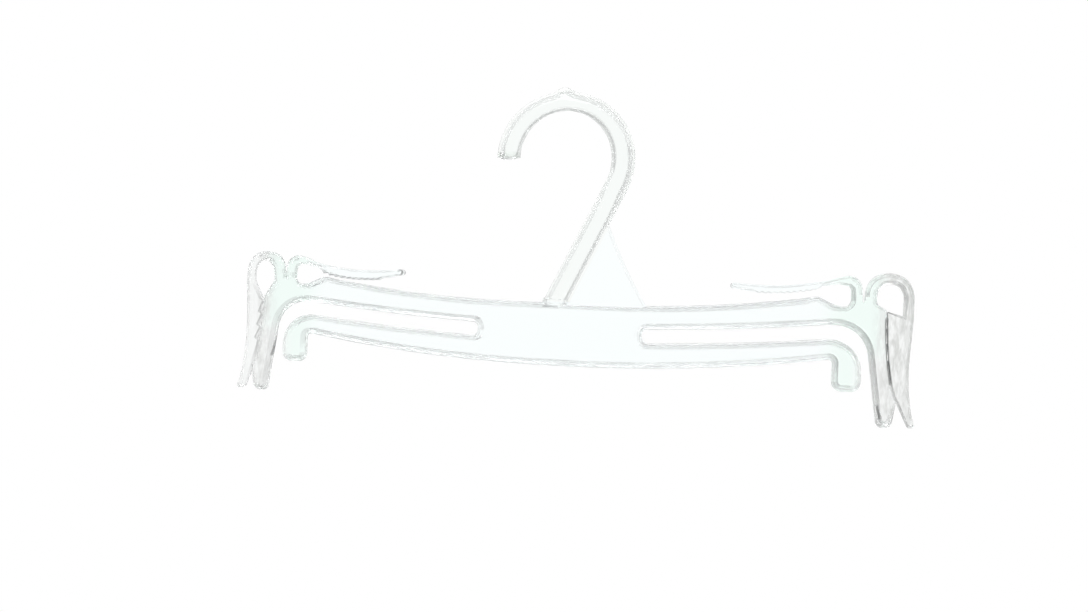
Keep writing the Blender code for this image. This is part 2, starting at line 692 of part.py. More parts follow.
def make_gusset(collection):
    """Thin triangular web in the corner between the leg and the beam."""
    clearance = SEAM_GAP / math.sin(HOOK_LEG_ANGLE)
    apex_z = BEAM_TOP_Z + GUSSET_HEIGHT
    apex = (leg_edge(apex_z, 1) + clearance, apex_z)
    foot = (GUSSET_REACH, beam_top(GUSSET_REACH) + SEAM_GAP)
    heel_z = BEAM_TOP_Z + SEAM_GAP
    heel_x = leg_edge(heel_z, 1) + clearance
    bow = ((apex[0] + foot[0]) / 2 - GUSSET_BOW, (apex[1] + foot[1]) / 2 - GUSSET_BOW)
    outline = [apex] + [(x, beam_top(x) + SEAM_GAP) for x in spread(heel_x, GUSSET_REACH, 4)]
    outline += bezier(foot, bow, bow, apex, ARM_STEPS)[1:-1]
    return flat_piece("hook_gusset", run(outline, GUSSET_RIM_ROUND), GUSSET_THICKNESS, collection)


def hook_stations():
    """Middle line and width of the hook's rod, from its free end over the crown and down the leg."""
    outer_radius = HOOK_INNER_RADIUS + HOOK_CROWN_WIDTH
    nub_half = HOOK_NUB_LENGTH / 2 / outer_radius
    leg_turn = HOOK_LEG_ANGLE - math.radians(90.0)
    steps = math.ceil((HOOK_END_ANGLE - leg_turn) / math.radians(HOOK_ARC_DEGREES))
    angles = [a for a in spread(HOOK_END_ANGLE, leg_turn, steps) if abs(a - HOOK_NUB_ANGLE) > nub_half]
    angles += spread(HOOK_NUB_ANGLE + nub_half, HOOK_NUB_ANGLE - nub_half, 2 * NUB_STEPS)
    end_turn = HOOK_END_ROUND / (HOOK_INNER_RADIUS + HOOK_ROD_WIDTH / 2)
    angles = [a for a in angles if a < HOOK_END_ANGLE - end_turn]
    angles += [HOOK_END_ANGLE - end_turn * share for share in spread(0.0, 1.0, HOOK_END_STEPS)]
    stations = []
    for angle in sorted(angles, reverse=True):
        crown = max(math.sin(angle), 0.0) ** 2
        width = HOOK_ROD_WIDTH + (HOOK_CROWN_WIDTH - HOOK_ROD_WIDTH) * crown
        nub = max(1.0 - abs(angle - HOOK_NUB_ANGLE) / nub_half, 0.0)
        width += HOOK_NUB_RISE * math.sin(nub * math.radians(90.0)) ** 2
        radius = HOOK_INNER_RADIUS + width / 2
        inset = (HOOK_END_ROUND - radius * (HOOK_END_ANGLE - angle)) / HOOK_END_ROUND
        if inset > 0.0:
            width -= 2.0 * HOOK_END_ROUND * (1.0 - math.sqrt(1.0 - min(inset, 1.0) ** 2))
        stations.append(((radius * math.cos(angle), radius * math.sin(angle) - HOOK_INNER_RADIUS), width))
    leg_start = stations[-1][0]
    leg_end_z = BEAM_TOP_Z - HOOK_FOOT_OVERRUN
    leg_end = (leg_start[0] + (leg_end_z - leg_start[1]) / math.tan(HOOK_LEG_ANGLE), leg_end_z)
    for t in spread(0.0, 1.0, ARM_STEPS)[1:]:
        point = tuple(leg_start[k] + (leg_end[k] - leg_start[k]) * t for k in (0, 1))
        stations.append((point, HOOK_ROD_WIDTH))
    return stations


def make_foot_cutter(collection):
    """Block that cuts the groove in the hook's foot, in which the beam's top edge stands."""
    span = HOOK_INNER_RADIUS + HOOK_ROD_WIDTH
    depth = PLATE_THICKNESS + 2 * SEAM_GAP
    height = 2 * HOOK_FOOT_OVERRUN
    bm = bmesh.new()
    bmesh.ops.create_cube(bm, size=1.0)
    for vert in bm.verts:
        vert.co.x *= 2 * span
        vert.co.y *= depth
        vert.co.z = vert.co.z * height + BEAM_TOP_Z + SEAM_GAP - height / 2
    mesh = bpy.data.meshes.new("foot_cutter")
    bm.to_mesh(mesh)
    bm.free()
    cutter = bpy.data.objects.new("foot_cutter", mesh)
    cutter.hide_render = True
    cutter.display_type = "WIRE"
    collection.objects.link(cutter)
    return cutter


def make_hook(collection, cutters):
    """Hook: a thick rod with its nub, whose foot laps over both faces of the beam."""
    curve = bpy.data.curves.new("hook_line", "CURVE")
    curve.dimensions = "3D"
    curve.bevel_depth = HOOK_ROD_WIDTH / 2
    curve.bevel_resolution = HOOK_SIDES_RESOLUTION
    curve.use_fill_caps = True
    stations = hook_stations()
    spline = curve.splines.new("POLY")
    spline.points.add(len(stations) - 1)
    for knot, ((x, z), width) in zip(spline.points, stations):
        knot.co = (x, 0.0, z, 1.0)
        knot.radius = width / HOOK_ROD_WIDTH
    obj = mesh_from_curve("hook", curve, Matrix.Identity(4))
    bm = bmesh.new()
    bm.from_mesh(obj.data)
    everything = bm.verts[:] + bm.edges[:] + bm.faces[:]
    foot = Vector((0.0, 0.0, BEAM_TOP_Z - HOOK_FOOT_LAP))
    cut = bmesh.ops.bisect_plane(bm, geom=everything, plane_co=foot, plane_no=(0.0, 0.0, -1.0), clear_outer=True)
    rim = [item for item in cut["geom_cut"] if isinstance(item, bmesh.types.BMEdge)]
    bmesh.ops.contextual_create(bm, geom=rim)
    for vert in bm.verts:
        vert.co.y *= HOOK_ROD_DEPTH / HOOK_ROD_WIDTH
    bmesh.ops.recalc_face_normals(bm, faces=bm.faces)
    bm.to_mesh(obj.data)
    bm.free()
    groove = obj.modifiers.new("groove", "BOOLEAN")
    groove.object = make_foot_cutter(cutters)
    groove.operation = "DIFFERENCE"
    groove.solver = "EXACT"
    return finish(obj, collection)


def make_end(side_name, side, pad_depth, tooth_depth, collection):
    """One end of the hanger: outer arm with its posts, and both clips."""
    make_outer_arm(side_name + "_outer_arm", side, collection)
    make_inner_spring(side_name + "_inner_clip_spring", side, collection)
    make_inner_arm(side_name + "_inner_clip_arm", side, pad_depth, tooth_depth, collection)
    make_outer_spring(side_name + "_outer_clip_spring", side, collection)
    make_outer_jaw(side_name + "_outer_clip_arm", side, collection)


def main():
    """Builds the hanger."""
    clear_scene()
    collection = new_collection(COLLECTION_NAME)
    cutters = new_collection(COLLECTION_NAME + "_cutters")
    make_hook(collection, cutters)
    make_gusset(collection)
    make_beam(collection)
    make_end("left", -1, LEFT_PAD_DEPTH, LEFT_TOOTH_DEPTH, collection)
    make_end("right", 1, RIGHT_PAD_DEPTH, RIGHT_TOOTH_DEPTH, collection)


main()
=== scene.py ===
"""Dressed model of the clear hanger for delicates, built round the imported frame.

Units are metres. +X runs along the beam, +Z is up and -Y is the front. The origin is the rail seat, the
inside of the hook's crown. The real hanger is one moulding in clear polystyrene, so the hook, its web, the
beam and both outer arms are welded into one frame moulding here. Each sprung clip is one strip from its post
to its tip, and bends round its loop when it opens. Outlines are drawn for the right side, and mirrored for
the left.
"""

import logging
import math
from dataclasses import dataclass, field, replace
from enum import Enum
from typing import Any, Callable, Optional, Sequence, Union

import bmesh
import bpy
from mathutils import Matrix, Vector
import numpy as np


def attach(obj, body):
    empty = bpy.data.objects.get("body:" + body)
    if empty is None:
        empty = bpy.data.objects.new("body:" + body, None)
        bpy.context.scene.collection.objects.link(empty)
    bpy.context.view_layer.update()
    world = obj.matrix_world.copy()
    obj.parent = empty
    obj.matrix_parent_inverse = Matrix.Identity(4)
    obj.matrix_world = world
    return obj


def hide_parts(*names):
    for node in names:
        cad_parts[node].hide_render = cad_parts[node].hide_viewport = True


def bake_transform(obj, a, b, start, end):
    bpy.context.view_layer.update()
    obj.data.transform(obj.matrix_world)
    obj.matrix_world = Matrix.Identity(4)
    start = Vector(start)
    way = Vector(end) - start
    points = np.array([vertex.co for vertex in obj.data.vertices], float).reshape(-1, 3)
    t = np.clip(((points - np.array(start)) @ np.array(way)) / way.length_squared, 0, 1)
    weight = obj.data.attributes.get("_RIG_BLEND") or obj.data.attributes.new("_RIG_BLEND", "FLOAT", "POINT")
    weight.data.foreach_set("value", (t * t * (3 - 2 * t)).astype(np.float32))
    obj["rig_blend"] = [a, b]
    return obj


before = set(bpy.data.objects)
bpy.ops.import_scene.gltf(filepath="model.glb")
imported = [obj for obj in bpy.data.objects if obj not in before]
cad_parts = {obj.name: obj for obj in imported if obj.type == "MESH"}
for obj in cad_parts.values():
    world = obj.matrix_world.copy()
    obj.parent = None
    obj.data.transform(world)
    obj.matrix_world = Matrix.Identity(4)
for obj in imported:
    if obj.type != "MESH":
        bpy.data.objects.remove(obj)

BODY_FRAME = "frame"
QUARTER_TURN = math.radians(90.0)

# Parting line of the mould, halfway through the thickness of every piece
PARTING_RISE = 0.00004
PARTING_HALF = 0.00012

Point = tuple[float, float]
Span = tuple[float, float]
Way = tuple[float, float, float]
Tint = tuple[float, float, float, float]
Ring = list[tuple[Point, float]]

log = logging.getLogger("delicates_hanger")


class Side(Enum):
    """End of the hanger, as the sign of its X."""

    LEFT = -1
    RIGHT = 1

    @property
    def word(self) -> str:
        """The side's name in lower case."""
        return self.name.lower()


def spread(start: float, end: float, steps: int) -> list[float]:
    """Evenly spaced values from start to end, both included."""
    return [start + (end - start) * i / steps for i in range(steps + 1)]


def eased(share: float) -> float:
    """A share from 0 to 1, limited and eased at both ends."""
    share = min(max(share, 0.0), 1.0)
    return share * share * (3.0 - 2.0 * share)


def smile(x: float, flat: float, reach: float, rise: float) -> float:
    """Height at x of an edge that is level as far as flat and has gained its whole rise at reach."""
    return rise * (max(abs(x) - flat, 0.0) / (reach - flat)) ** 2


def arc(centre: Point, radius: float, start: float, end: float, steps: int) -> list[Point]:
    """Points on an arc between two angles in radians, both ends included."""
    angles = spread(start, end, steps)
    return [(centre[0] + radius * math.cos(a), centre[1] + radius * math.sin(a)) for a in angles]


def bezier(p0: Point, p1: Point, p2: Point, p3: Point, steps: int) -> list[Point]:
    """Points on a cubic curve.

    Args:
        p0: Start.
        p1: Handle at the start.
        p2: Handle at the end.
        p3: End.
        steps: Number of intervals.

    Returns:
        The points, both ends included.
    """
    points = []
    for t in spread(0.0, 1.0, steps):
        s = 1.0 - t
        weights = (s * s * s, 3 * s * s * t, 3 * s * t * t, t * t * t)
        points.append(tuple(sum(w * p[k] for w, p in zip(weights, (p0, p1, p2, p3))) for k in (0, 1)))
    return points


def height_on(path: Sequence[Point], x: float) -> float:
    """Height of a path at x, read between its points.

    Args:
        path: Its points.
        x: Where the height is wanted.

    Returns:
        The height, or that of the nearest point beyond the path's ends.
    """
    for a, b in zip(path, path[1:]):
        low, high = sorted((a[0], b[0]))
        if low <= x <= high and high > low:
            return a[1] + (b[1] - a[1]) * (x - a[0]) / (b[0] - a[0])
    return min(path, key=lambda point: abs(point[0] - x))[1]


def blended(stops: Sequence[float], count: int) -> list[float]:
    """Values that run in even steps through the stops.

    Args:
        stops: The values to run through.
        count: How many values are wanted.

    Returns:
        The values, from the first stop to the last.
    """
    values = []
    for i in range(count):
        place_in = i * (len(stops) - 1) / (count - 1)
        first = min(int(place_in), len(stops) - 2)
        values.append(stops[first] + (stops[first + 1] - stops[first]) * (place_in - first))
    return values


def strip_sides(path: Sequence[Point], widths: Sequence[float]) -> tuple[list[Point], list[Point]]:
    """Both sides of a strip.

    Args:
        path: Its middle line.
        widths: Its width at each point of the line.

    Returns:
        The points on its left, seen along the line, and those on its right.
    """
    left = []
    right = []
    last = len(path) - 1
    for i, (point, width) in enumerate(zip(path, widths)):
        along = Vector(path[min(i + 1, last)]) - Vector(path[max(i - 1, 0)])
        across = Vector((-along.y, along.x)).normalized() * width / 2
        left.append((point[0] + across.x, point[1] + across.y))
        right.append((point[0] - across.x, point[1] - across.y))
    return left, right


@dataclass(frozen=True)
class Corner:
    """Corner of an outline, with its radius in the plane, and the rims' width from it to the next one."""

    x: float
    z: float
    turn: float = 0.0
    rim: float = 0.0


@dataclass
class Outline:
    """Closed outline in X and Z, drawn corner by corner for the right side, and how its rims are rounded."""

    rim: float
    sink_share: float = 0.92
    fine_rim: float = 0.0004
    turn_degrees: float = 6.0
    merge: float = 0.00003
    rim_slope: float = 0.5
    rim_limit_share: float = 0.92
    corners: list[Corner] = field(default_factory=list)

    def corner(self, x: float, z: float, turn: float = 0.0, rim: Optional[float] = None) -> None:
        """Adds a corner.

        Args:
            x: Its X.
            z: Its Z.
            turn: Its radius in the plane.
            rim: Width of the rims from here to the next corner, where it isn't the outline's own.
        """
        self.corners.append(Corner(x, z, turn, self.rim if rim is None else rim))

    def run(self, points: Sequence[Point], rim: Optional[float] = None) -> None:
        """Adds a stretch of points without radius."""
        for x, z in points:
            self.corner(x, z, rim=rim)

    def close_with(self, half: "Outline") -> None:
        """Adds the mirror image of another half's corners, but for the two at the middle.

        Args:
            half: The other half, from its bottom middle to its top middle.
        """
        drawn = half.corners
        for i in range(len(drawn) - 2, 0, -1):
            self.corners.append(Corner(-drawn[i].x, drawn[i].z, drawn[i].turn, drawn[i - 1].rim))

    def _turning(self) -> float:
        """Which way round the outline is drawn.

        Returns:
            1 if it is drawn anticlockwise, seen from the front, and -1 if not.
        """
        own = self.corners
        area = sum(a.x * b.z - b.x * a.z for a, b in zip(own, own[1:] + own[:1]))
        return math.copysign(1.0, area)

    def _arc(self, i: int, turning: float) -> tuple[list[Point], float]:
        """The arc that rounds a corner, limited by its sides.

        Args:
            i: The corner's number.
            turning: 1 if the outline is drawn anticlockwise, -1 if not.

        Returns:
            Its points, and the widest rim that fits there.
        """
        corner = self.corners[i]
        following = self.corners[(i + 1) % len(self.corners)]
        here = Vector((corner.x, corner.z))
        before = Vector((self.corners[i - 1].x, self.corners[i - 1].z)) - here
        after = Vector((following.x, following.z)) - here
        if corner.turn <= 0.0:
            return [(corner.x, corner.z)], math.inf
        half = before.angle(after) / 2
        setback = min(corner.turn / math.tan(half), before.length, after.length)
        radius = setback * math.tan(half)
        centre = here + (before.normalized() + after.normalized()).normalized() * (radius / math.sin(half))
        first = here + before.normalized() * setback - centre
        last = here + after.normalized() * setback - centre
        turn = -first.angle_signed(last)
        steps = max(2, math.ceil(abs(math.degrees(turn)) / self.turn_degrees))
        begin = math.atan2(first.y, first.x)
        limit = self.rim_limit_share * (radius - PARTING_RISE) if turn * turning > 0.0 else math.inf
        return arc((centre.x, centre.y), radius, begin, begin + turn, steps), limit

    def _sampled(self, side: Side) -> tuple[list[Point], list[float]]:
        """Points of the outline, with its corners rounded.

        Args:
            side: The side it is for.

        Returns:
            The points, anticlockwise seen from the front, and the rims' width from each to the next.
        """
        points: list[Point] = []
        rims: list[float] = []
        turning = self._turning()
        for i, corner in enumerate(self.corners):
            arc_points, limit = self._arc(i, turning)
            for point in arc_points:
                if points and math.dist(point, points[-1]) < self.merge:
                    rims[-1] = min(rims[-1], corner.rim, limit)
                    continue
                points.append(point)
                rims.append(min(corner.rim, limit))
        if math.dist(points[0], points[-1]) < self.merge:
            points.pop()
            rims.pop()
        points = [(side.value * x, z) for x, z in points]
        if turning * side.value < 0:
            count = len(points)
            points = points[::-1]
            rims = [rims[(count - 2 - i) % count] for i in range(count)]
        return points, rims

    def _eased(self, points: list[Point], rims: list[float]) -> list[float]:
        """Rim widths that grow no faster along the outline than the slope allows.

        Args:
            points: The outline's points.
            rims: The rims' width at each.

        Returns:
            The eased widths.
        """
        count = len(points)
        rims = list(rims)
        for way in (1, -1):
            for step in range(2 * count):
                i = (way * step) % count
                j = (i - way) % count
                rims[i] = min(rims[i], rims[j] + self.rim_slope * math.dist(points[i], points[j]))
        return rims

    def finished(self, side: Side = Side.RIGHT) -> list["RimPoint"]:
        """The finished outline, with what its rims need.

        Args:
            side: The side it is for.

        Returns:
            Its points, anticlockwise seen from the front.
        """
        points, edge_rims = self._sampled(side)
        count = len(points)
        along = [(Vector(points[(i + 1) % count]) - Vector(points[i])).normalized() for i in range(count)]
        inwards = []
        rims = []
        for i in range(count):
            before, after = edge_rims[i - 1], edge_rims[i]
            first = Vector((-along[i - 1].y, along[i - 1].x))
            last = Vector((-along[i].y, along[i].x))
            if after <= 0.0:
                way = along[i] / along[i].dot(first)
            elif before <= 0.0:
                way = -along[i - 1] / -along[i - 1].dot(last)
            else:
                way = (first + last) / (1.0 + first.dot(last))
            inwards.append(way)
            rims.append(min(rim for rim in (before, after) if rim > 0.0))
        return [RimPoint(*args) for args in zip(points, inwards, self._eased(points, rims))]


@dataclass(frozen=True)
class RimPoint:
    """Point of a finished outline, the way from it into the piece, and the width of the rims there."""

    point: Point
    inwards: Vector
    rim: float

    def moved(self, inset: float) -> Point:
        """The point moved into the piece."""
        return self.point[0] + self.inwards.x * inset, self.point[1] + self.inwards.y * inset


class Bench:
    """Modelling steps shared by the pieces, done with operators as by hand."""

    RIM_SEGMENTS = 8
    RIM_CURVE = 0.85
    MERGE = 0.000002
    SMOOTH_ANGLE = math.radians(40.0)
    FLAT_WEIGHT = 80
    PLACE_LAYER = "outline_place"
    FINE_LAYER = "fine_rim"

    @staticmethod
    def deselect() -> None:
        """Leaves nothing selected."""
        if bpy.context.object and bpy.context.object.mode != "OBJECT":
            bpy.ops.object.mode_set(mode="OBJECT")
        bpy.ops.object.select_all(action="DESELECT")

    @classmethod
    def take(cls, obj: bpy.types.Object) -> None:
        """Selects one object alone and makes it active.

        Args:
            obj: The object.
        """
        cls.deselect()
        obj.select_set(True)
        bpy.context.view_layer.objects.active = obj

    @staticmethod
    def edit_all() -> None:
        """Goes to edit mode with everything selected."""
        bpy.ops.object.mode_set(mode="EDIT")
        bpy.ops.mesh.select_all(action="SELECT")

    @classmethod
    def apply(cls, obj: bpy.types.Object, kind: str, **settings: Any) -> None:
        """Adds a modifier to a piece and applies it.

        Args:
            obj: The piece.
            kind: The modifier's type.
            **settings: Its settings.
        """
        cls.take(obj)
        modifier = obj.modifiers.new(kind.lower(), kind)
        for name, value in settings.items():
            setattr(modifier, name, value)
        bpy.ops.object.modifier_apply(modifier=modifier.name)

    @classmethod
    def flat_piece(
        cls, name: str, outline: Outline, thickness: float, side: Side = Side.RIGHT
    ) -> bpy.types.Object:
        """A flat moulded piece: its outline drawn on a circle, then extruded ring by ring round both rims.

        Args:
            name: The piece's name.
            outline: Its outline.
            thickness: Its thickness along Y, half of it each way.
            side: The side it is for.

        Returns:
            The piece, closed, with its place in its mesh and a fine parting line round its edge.
        """
        points = outline.finished(side)
        cls.deselect()
        bpy.ops.mesh.primitive_circle_add(vertices=len(points), radius=thickness, fill_type="NGON")
        obj = bpy.context.object
        obj.name = name
        obj.data.name = name
        cls.edit_all()
        bm = bmesh.from_edit_mesh(obj.data)
        layer = bm.verts.layers.int.new(cls.PLACE_LAYER)
        bm.verts.layers.float.new(cls.FINE_LAYER)
        for i, vert in enumerate(bm.verts):
            vert[layer] = i
        bmesh.update_edit_mesh(obj.data)
        for i, ring in enumerate(cls._rings(points, outline.sink_share, thickness / 2)):
            if i > 0:
                bpy.ops.mesh.extrude_region_move()
            cls._set_ring(obj, ring)
        bpy.ops.mesh.select_all(action="SELECT")
        bpy.ops.mesh.normals_make_consistent(inside=False)
        cls._mark_fine_rims(obj, [point.rim < outline.fine_rim for point in points], thickness / 2)
        bpy.ops.object.mode_set(mode="OBJECT")
        return obj

    @classmethod
    def _mark_fine_rims(cls, obj: bpy.types.Object, fine: Sequence[bool], face_y: float) -> None:
        """Marks the vertices below the faces where the rims are fine, as at teeth and slits, where the finish
        can paint shade.

        Args:
            obj: The piece.
            fine: Whether the rim is fine at each point.
            face_y: Half of the piece's thickness.
        """
        bm = bmesh.from_edit_mesh(obj.data)
        place = bm.verts.layers.int[cls.PLACE_LAYER]
        mark = bm.verts.layers.float[cls.FINE_LAYER]
        for vert in bm.verts:
            below = abs(vert.co.y) < face_y - cls.MERGE
            vert[mark] = float(below and fine[vert[place]])
        bmesh.update_edit_mesh(obj.data)

    @classmethod
    def _rings(cls, points: Sequence[RimPoint], sink_share: float, face_y: float) -> list[Ring]:
        """The rings of a flat piece, from the rim of its front face over its edge to that of its back face.

        Args:
            points: Its outline.
            sink_share: How deep a rim goes below the face, as a share of its width.
            face_y: Half of the piece's thickness.

        Returns:
            For each ring, the place in the plane and the Y of each point.
        """
        front = []
        for share in spread(0.0, 1.0, cls.RIM_SEGMENTS):
            inset = (1.0 - share) ** cls.RIM_CURVE
            sink = sink_share * share
            ring = [(p.moved(PARTING_RISE + p.rim * inset), sink * p.rim - face_y) for p in points]
            front.append(ring)
        front.append([(p.moved(PARTING_RISE), -PARTING_HALF) for p in points])
        middle = [(p.moved(0.0), 0.0) for p in points]
        back = [[(place, -y) for place, y in ring] for ring in front[::-1]]
        return front + [middle] + back

    @classmethod
    def _set_ring(cls, obj: bpy.types.Object, places: Ring) -> None:
        """Moves each selected vertex to its place on a ring.

        Args:
            obj: The piece.
            places: The place in the plane and the Y of each vertex.
        """
        bm = bmesh.from_edit_mesh(obj.data)
        layer = bm.verts.layers.int[cls.PLACE_LAYER]
        for vert in bm.verts:
            if vert.select:
                (x, z), y = places[vert[layer]]
                vert.co = (x, y, z)
        bmesh.update_edit_mesh(obj.data)

    @classmethod
    def weld(cls, base: bpy.types.Object, others: Sequence[bpy.types.Object]) -> None:
        """Joins pieces that were moulded as one and run into each other.

        Args:
            base: The piece that keeps its name.
            others: The pieces that become part of it.
        """
        for other in others:
            cls.apply(base, "BOOLEAN", operation="UNION", object=other, solver="EXACT")
            bpy.data.objects.remove(other)

    @classmethod
    def smooth(cls, obj: bpy.types.Object) -> None:
        """Shades a piece smooth, with its flat faces kept flat.

        Args:
            obj: The piece.
        """
        cls.take(obj)
        cls.edit_all()
        bpy.ops.mesh.remove_doubles(threshold=cls.MERGE)
        bpy.ops.object.mode_set(mode="OBJECT")
        bpy.ops.object.shade_smooth_by_angle(angle=cls.SMOOTH_ANGLE, keep_sharp_edges=False)
        cls.apply(obj, "WEIGHTED_NORMAL", mode="FACE_AREA", weight=cls.FLAT_WEIGHT, keep_sharp=True)


def maths(operation: str, reflected: bool = False) -> Callable[["Wire", Any], "Wire"]:
    """Makes a method that adds a Math node on a wire and another value.

    Args:
        operation: What the node does.
        reflected: Whether the other value comes first.

    Returns:
        The method.
    """

    def method(own: "Wire", other: Any) -> "Wire":
        """The node's result."""
        first, second = (other, own) if reflected else (own, other)
        return own.tree.node("ShaderNodeMath", {"operation": operation}, {0: first, 1: second})

    return method


class Wire:
    """An output in a shader tree. Arithmetic on it adds Math nodes."""

    def __init__(self, tree: "ShaderTree", socket: Optional[bpy.types.NodeSocket]) -> None:
        """Wraps a socket of a tree."""
        self.tree = tree
        self.socket = socket

    __add__ = __radd__ = maths("ADD")
    __sub__ = maths("SUBTRACT")
    __rsub__ = maths("SUBTRACT", reflected=True)
    __mul__ = __rmul__ = maths("MULTIPLY")
    __truediv__ = maths("DIVIDE")
    __pow__ = maths("POWER")
    highest = maths("MAXIMUM")

    def __abs__(self) -> "Wire":
        """The size without its sign."""
        return self.tree.node("ShaderNodeMath", {"operation": "ABSOLUTE"}, {0: self})

    def band(self, low: float, high: float, fade: float) -> "Wire":
        """1 between low and high, and 0 from the fade outside them."""
        return self.ramp(low - fade, low) * (1.0 - self.ramp(high, high + fade))

    def ramp(self, low: float, high: float) -> "Wire":
        """0 below low and 1 above high, eased between them.

        Args:
            low: Where it starts.
            high: Where it is full.

        Returns:
            The ramp.
        """
        return self.tree.node(
            "ShaderNodeMapRange",
            {"interpolation_type": "SMOOTHSTEP"},
            {"Value": self, "From Min": low, "From Max": high},
        )


@dataclass(frozen=True)
class Noise:
    """A noise pattern: its waves to the metre, how many finer ones it adds, and how strong those are."""

    scale: float
    detail: float
    roughness: float


class ShaderTree:
    """Node tree of a material or a world, emptied and ready for its nodes."""

    MIX_FIRST = 6
    MIX_SECOND = 7
    MIX_RESULT = 2
    ATTRIBUTE_VALUE = 2

    def __init__(self, owner: Union[bpy.types.Material, bpy.types.World]) -> None:
        """Empties the owner's tree.

        Args:
            owner: The material or world.
        """
        owner.use_nodes = True
        self.tree = owner.node_tree
        self.tree.nodes.clear()

    def node(
        self,
        kind: str,
        settings: Optional[dict[str, Any]] = None,
        sockets: Optional[dict[Union[int, str], Any]] = None,
        output: Union[int, str] = 0,
    ) -> Wire:
        """Adds a node.

        Args:
            kind: Its type.
            settings: Its settings, set first.
            sockets: Its inputs by name or number: numbers, colours or wires.
            output: The output that is wanted.

        Returns:
            That output.
        """
        made = self.tree.nodes.new(kind)
        for name, value in (settings or {}).items():
            setattr(made, name, value)
        for key, value in (sockets or {}).items():
            if isinstance(value, Wire):
                self.tree.links.new(value.socket, made.inputs[key])
            else:
                made.inputs[key].default_value = value
        return Wire(self, made.outputs[output] if made.outputs else None)

    def split(self, place: Wire) -> list[Wire]:
        """X, Y and Z of a place."""
        parts = self.node("ShaderNodeSeparateXYZ", sockets={0: place}).socket.node.outputs
        return [Wire(self, part) for part in parts]

    def along(self, place: Wire, way: Vector) -> Wire:
        """How far a direction runs along another, from -1 to 1."""
        return self.node("ShaderNodeVectorMath", {"operation": "DOT_PRODUCT"}, {0: place, 1: way}, "Value")

    def ray(self, kind: str) -> Wire:
        """1 for rays of a kind, and 0 for others."""
        return self.node("ShaderNodeLightPath", output=f"Is {kind} Ray")

    def noise(self, place: Wire, pattern: Noise) -> Wire:
        """Noise at a place, from 0 to 1."""
        sockets = {"Scale": pattern.scale, "Detail": pattern.detail, "Roughness": pattern.roughness}
        return self.node("ShaderNodeTexNoise", sockets={"Vector": place, **sockets})

    def mixed(self, first: Any, second: Any, share: Wire) -> Wire:
        """A mix of two colours."""
        sockets = {0: share, self.MIX_FIRST: first, self.MIX_SECOND: second}
        return self.node("ShaderNodeMix", {"data_type": "RGBA"}, sockets, self.MIX_RESULT)


@dataclass(frozen=True)
class EndDatum:
    """Heights and reaches that the beam, its ends and the clips share."""

    thickness: float = 0.0046
    drop: float = 0.0764
    reach: float = 0.1194
    seam: float = 0.00003
    post_slit: float = 0.0006
    inner_post_width: float = 0.0045
    inner_foot_up: float = 0.0079
    outer_post_width: float = 0.0046
    outer_foot_up: float = 0.0073
    shoulder_out: float = 0.0088
    arm_lean: float = 0.0034
    arm_lean_down: float = 0.0300

    @property
    def top(self) -> float:
        """Height of the beam's top edge at the middle."""
        return -self.drop

    @property
    def inner_post(self) -> float:
        """Reach of the inner clip post's middle."""
        return self.reach - self.post_slit / 2 - self.inner_post_width / 2

    @property
    def outer_post(self) -> float:
        """Reach of the outer clip post's middle."""
        return self.reach + self.post_slit / 2 + self.outer_post_width / 2

    def place(self, out: float, up: float) -> Point:
        """X and Z of a place given from the right end's datum."""
        return self.reach + out, self.top + up

    def arm_outer(self, down: float) -> float:
        """Reach of the outer arm's outer edge at a depth below the datum."""
        return self.reach + self.shoulder_out + self.arm_lean * (max(down, 0.0) / self.arm_lean_down) ** 2


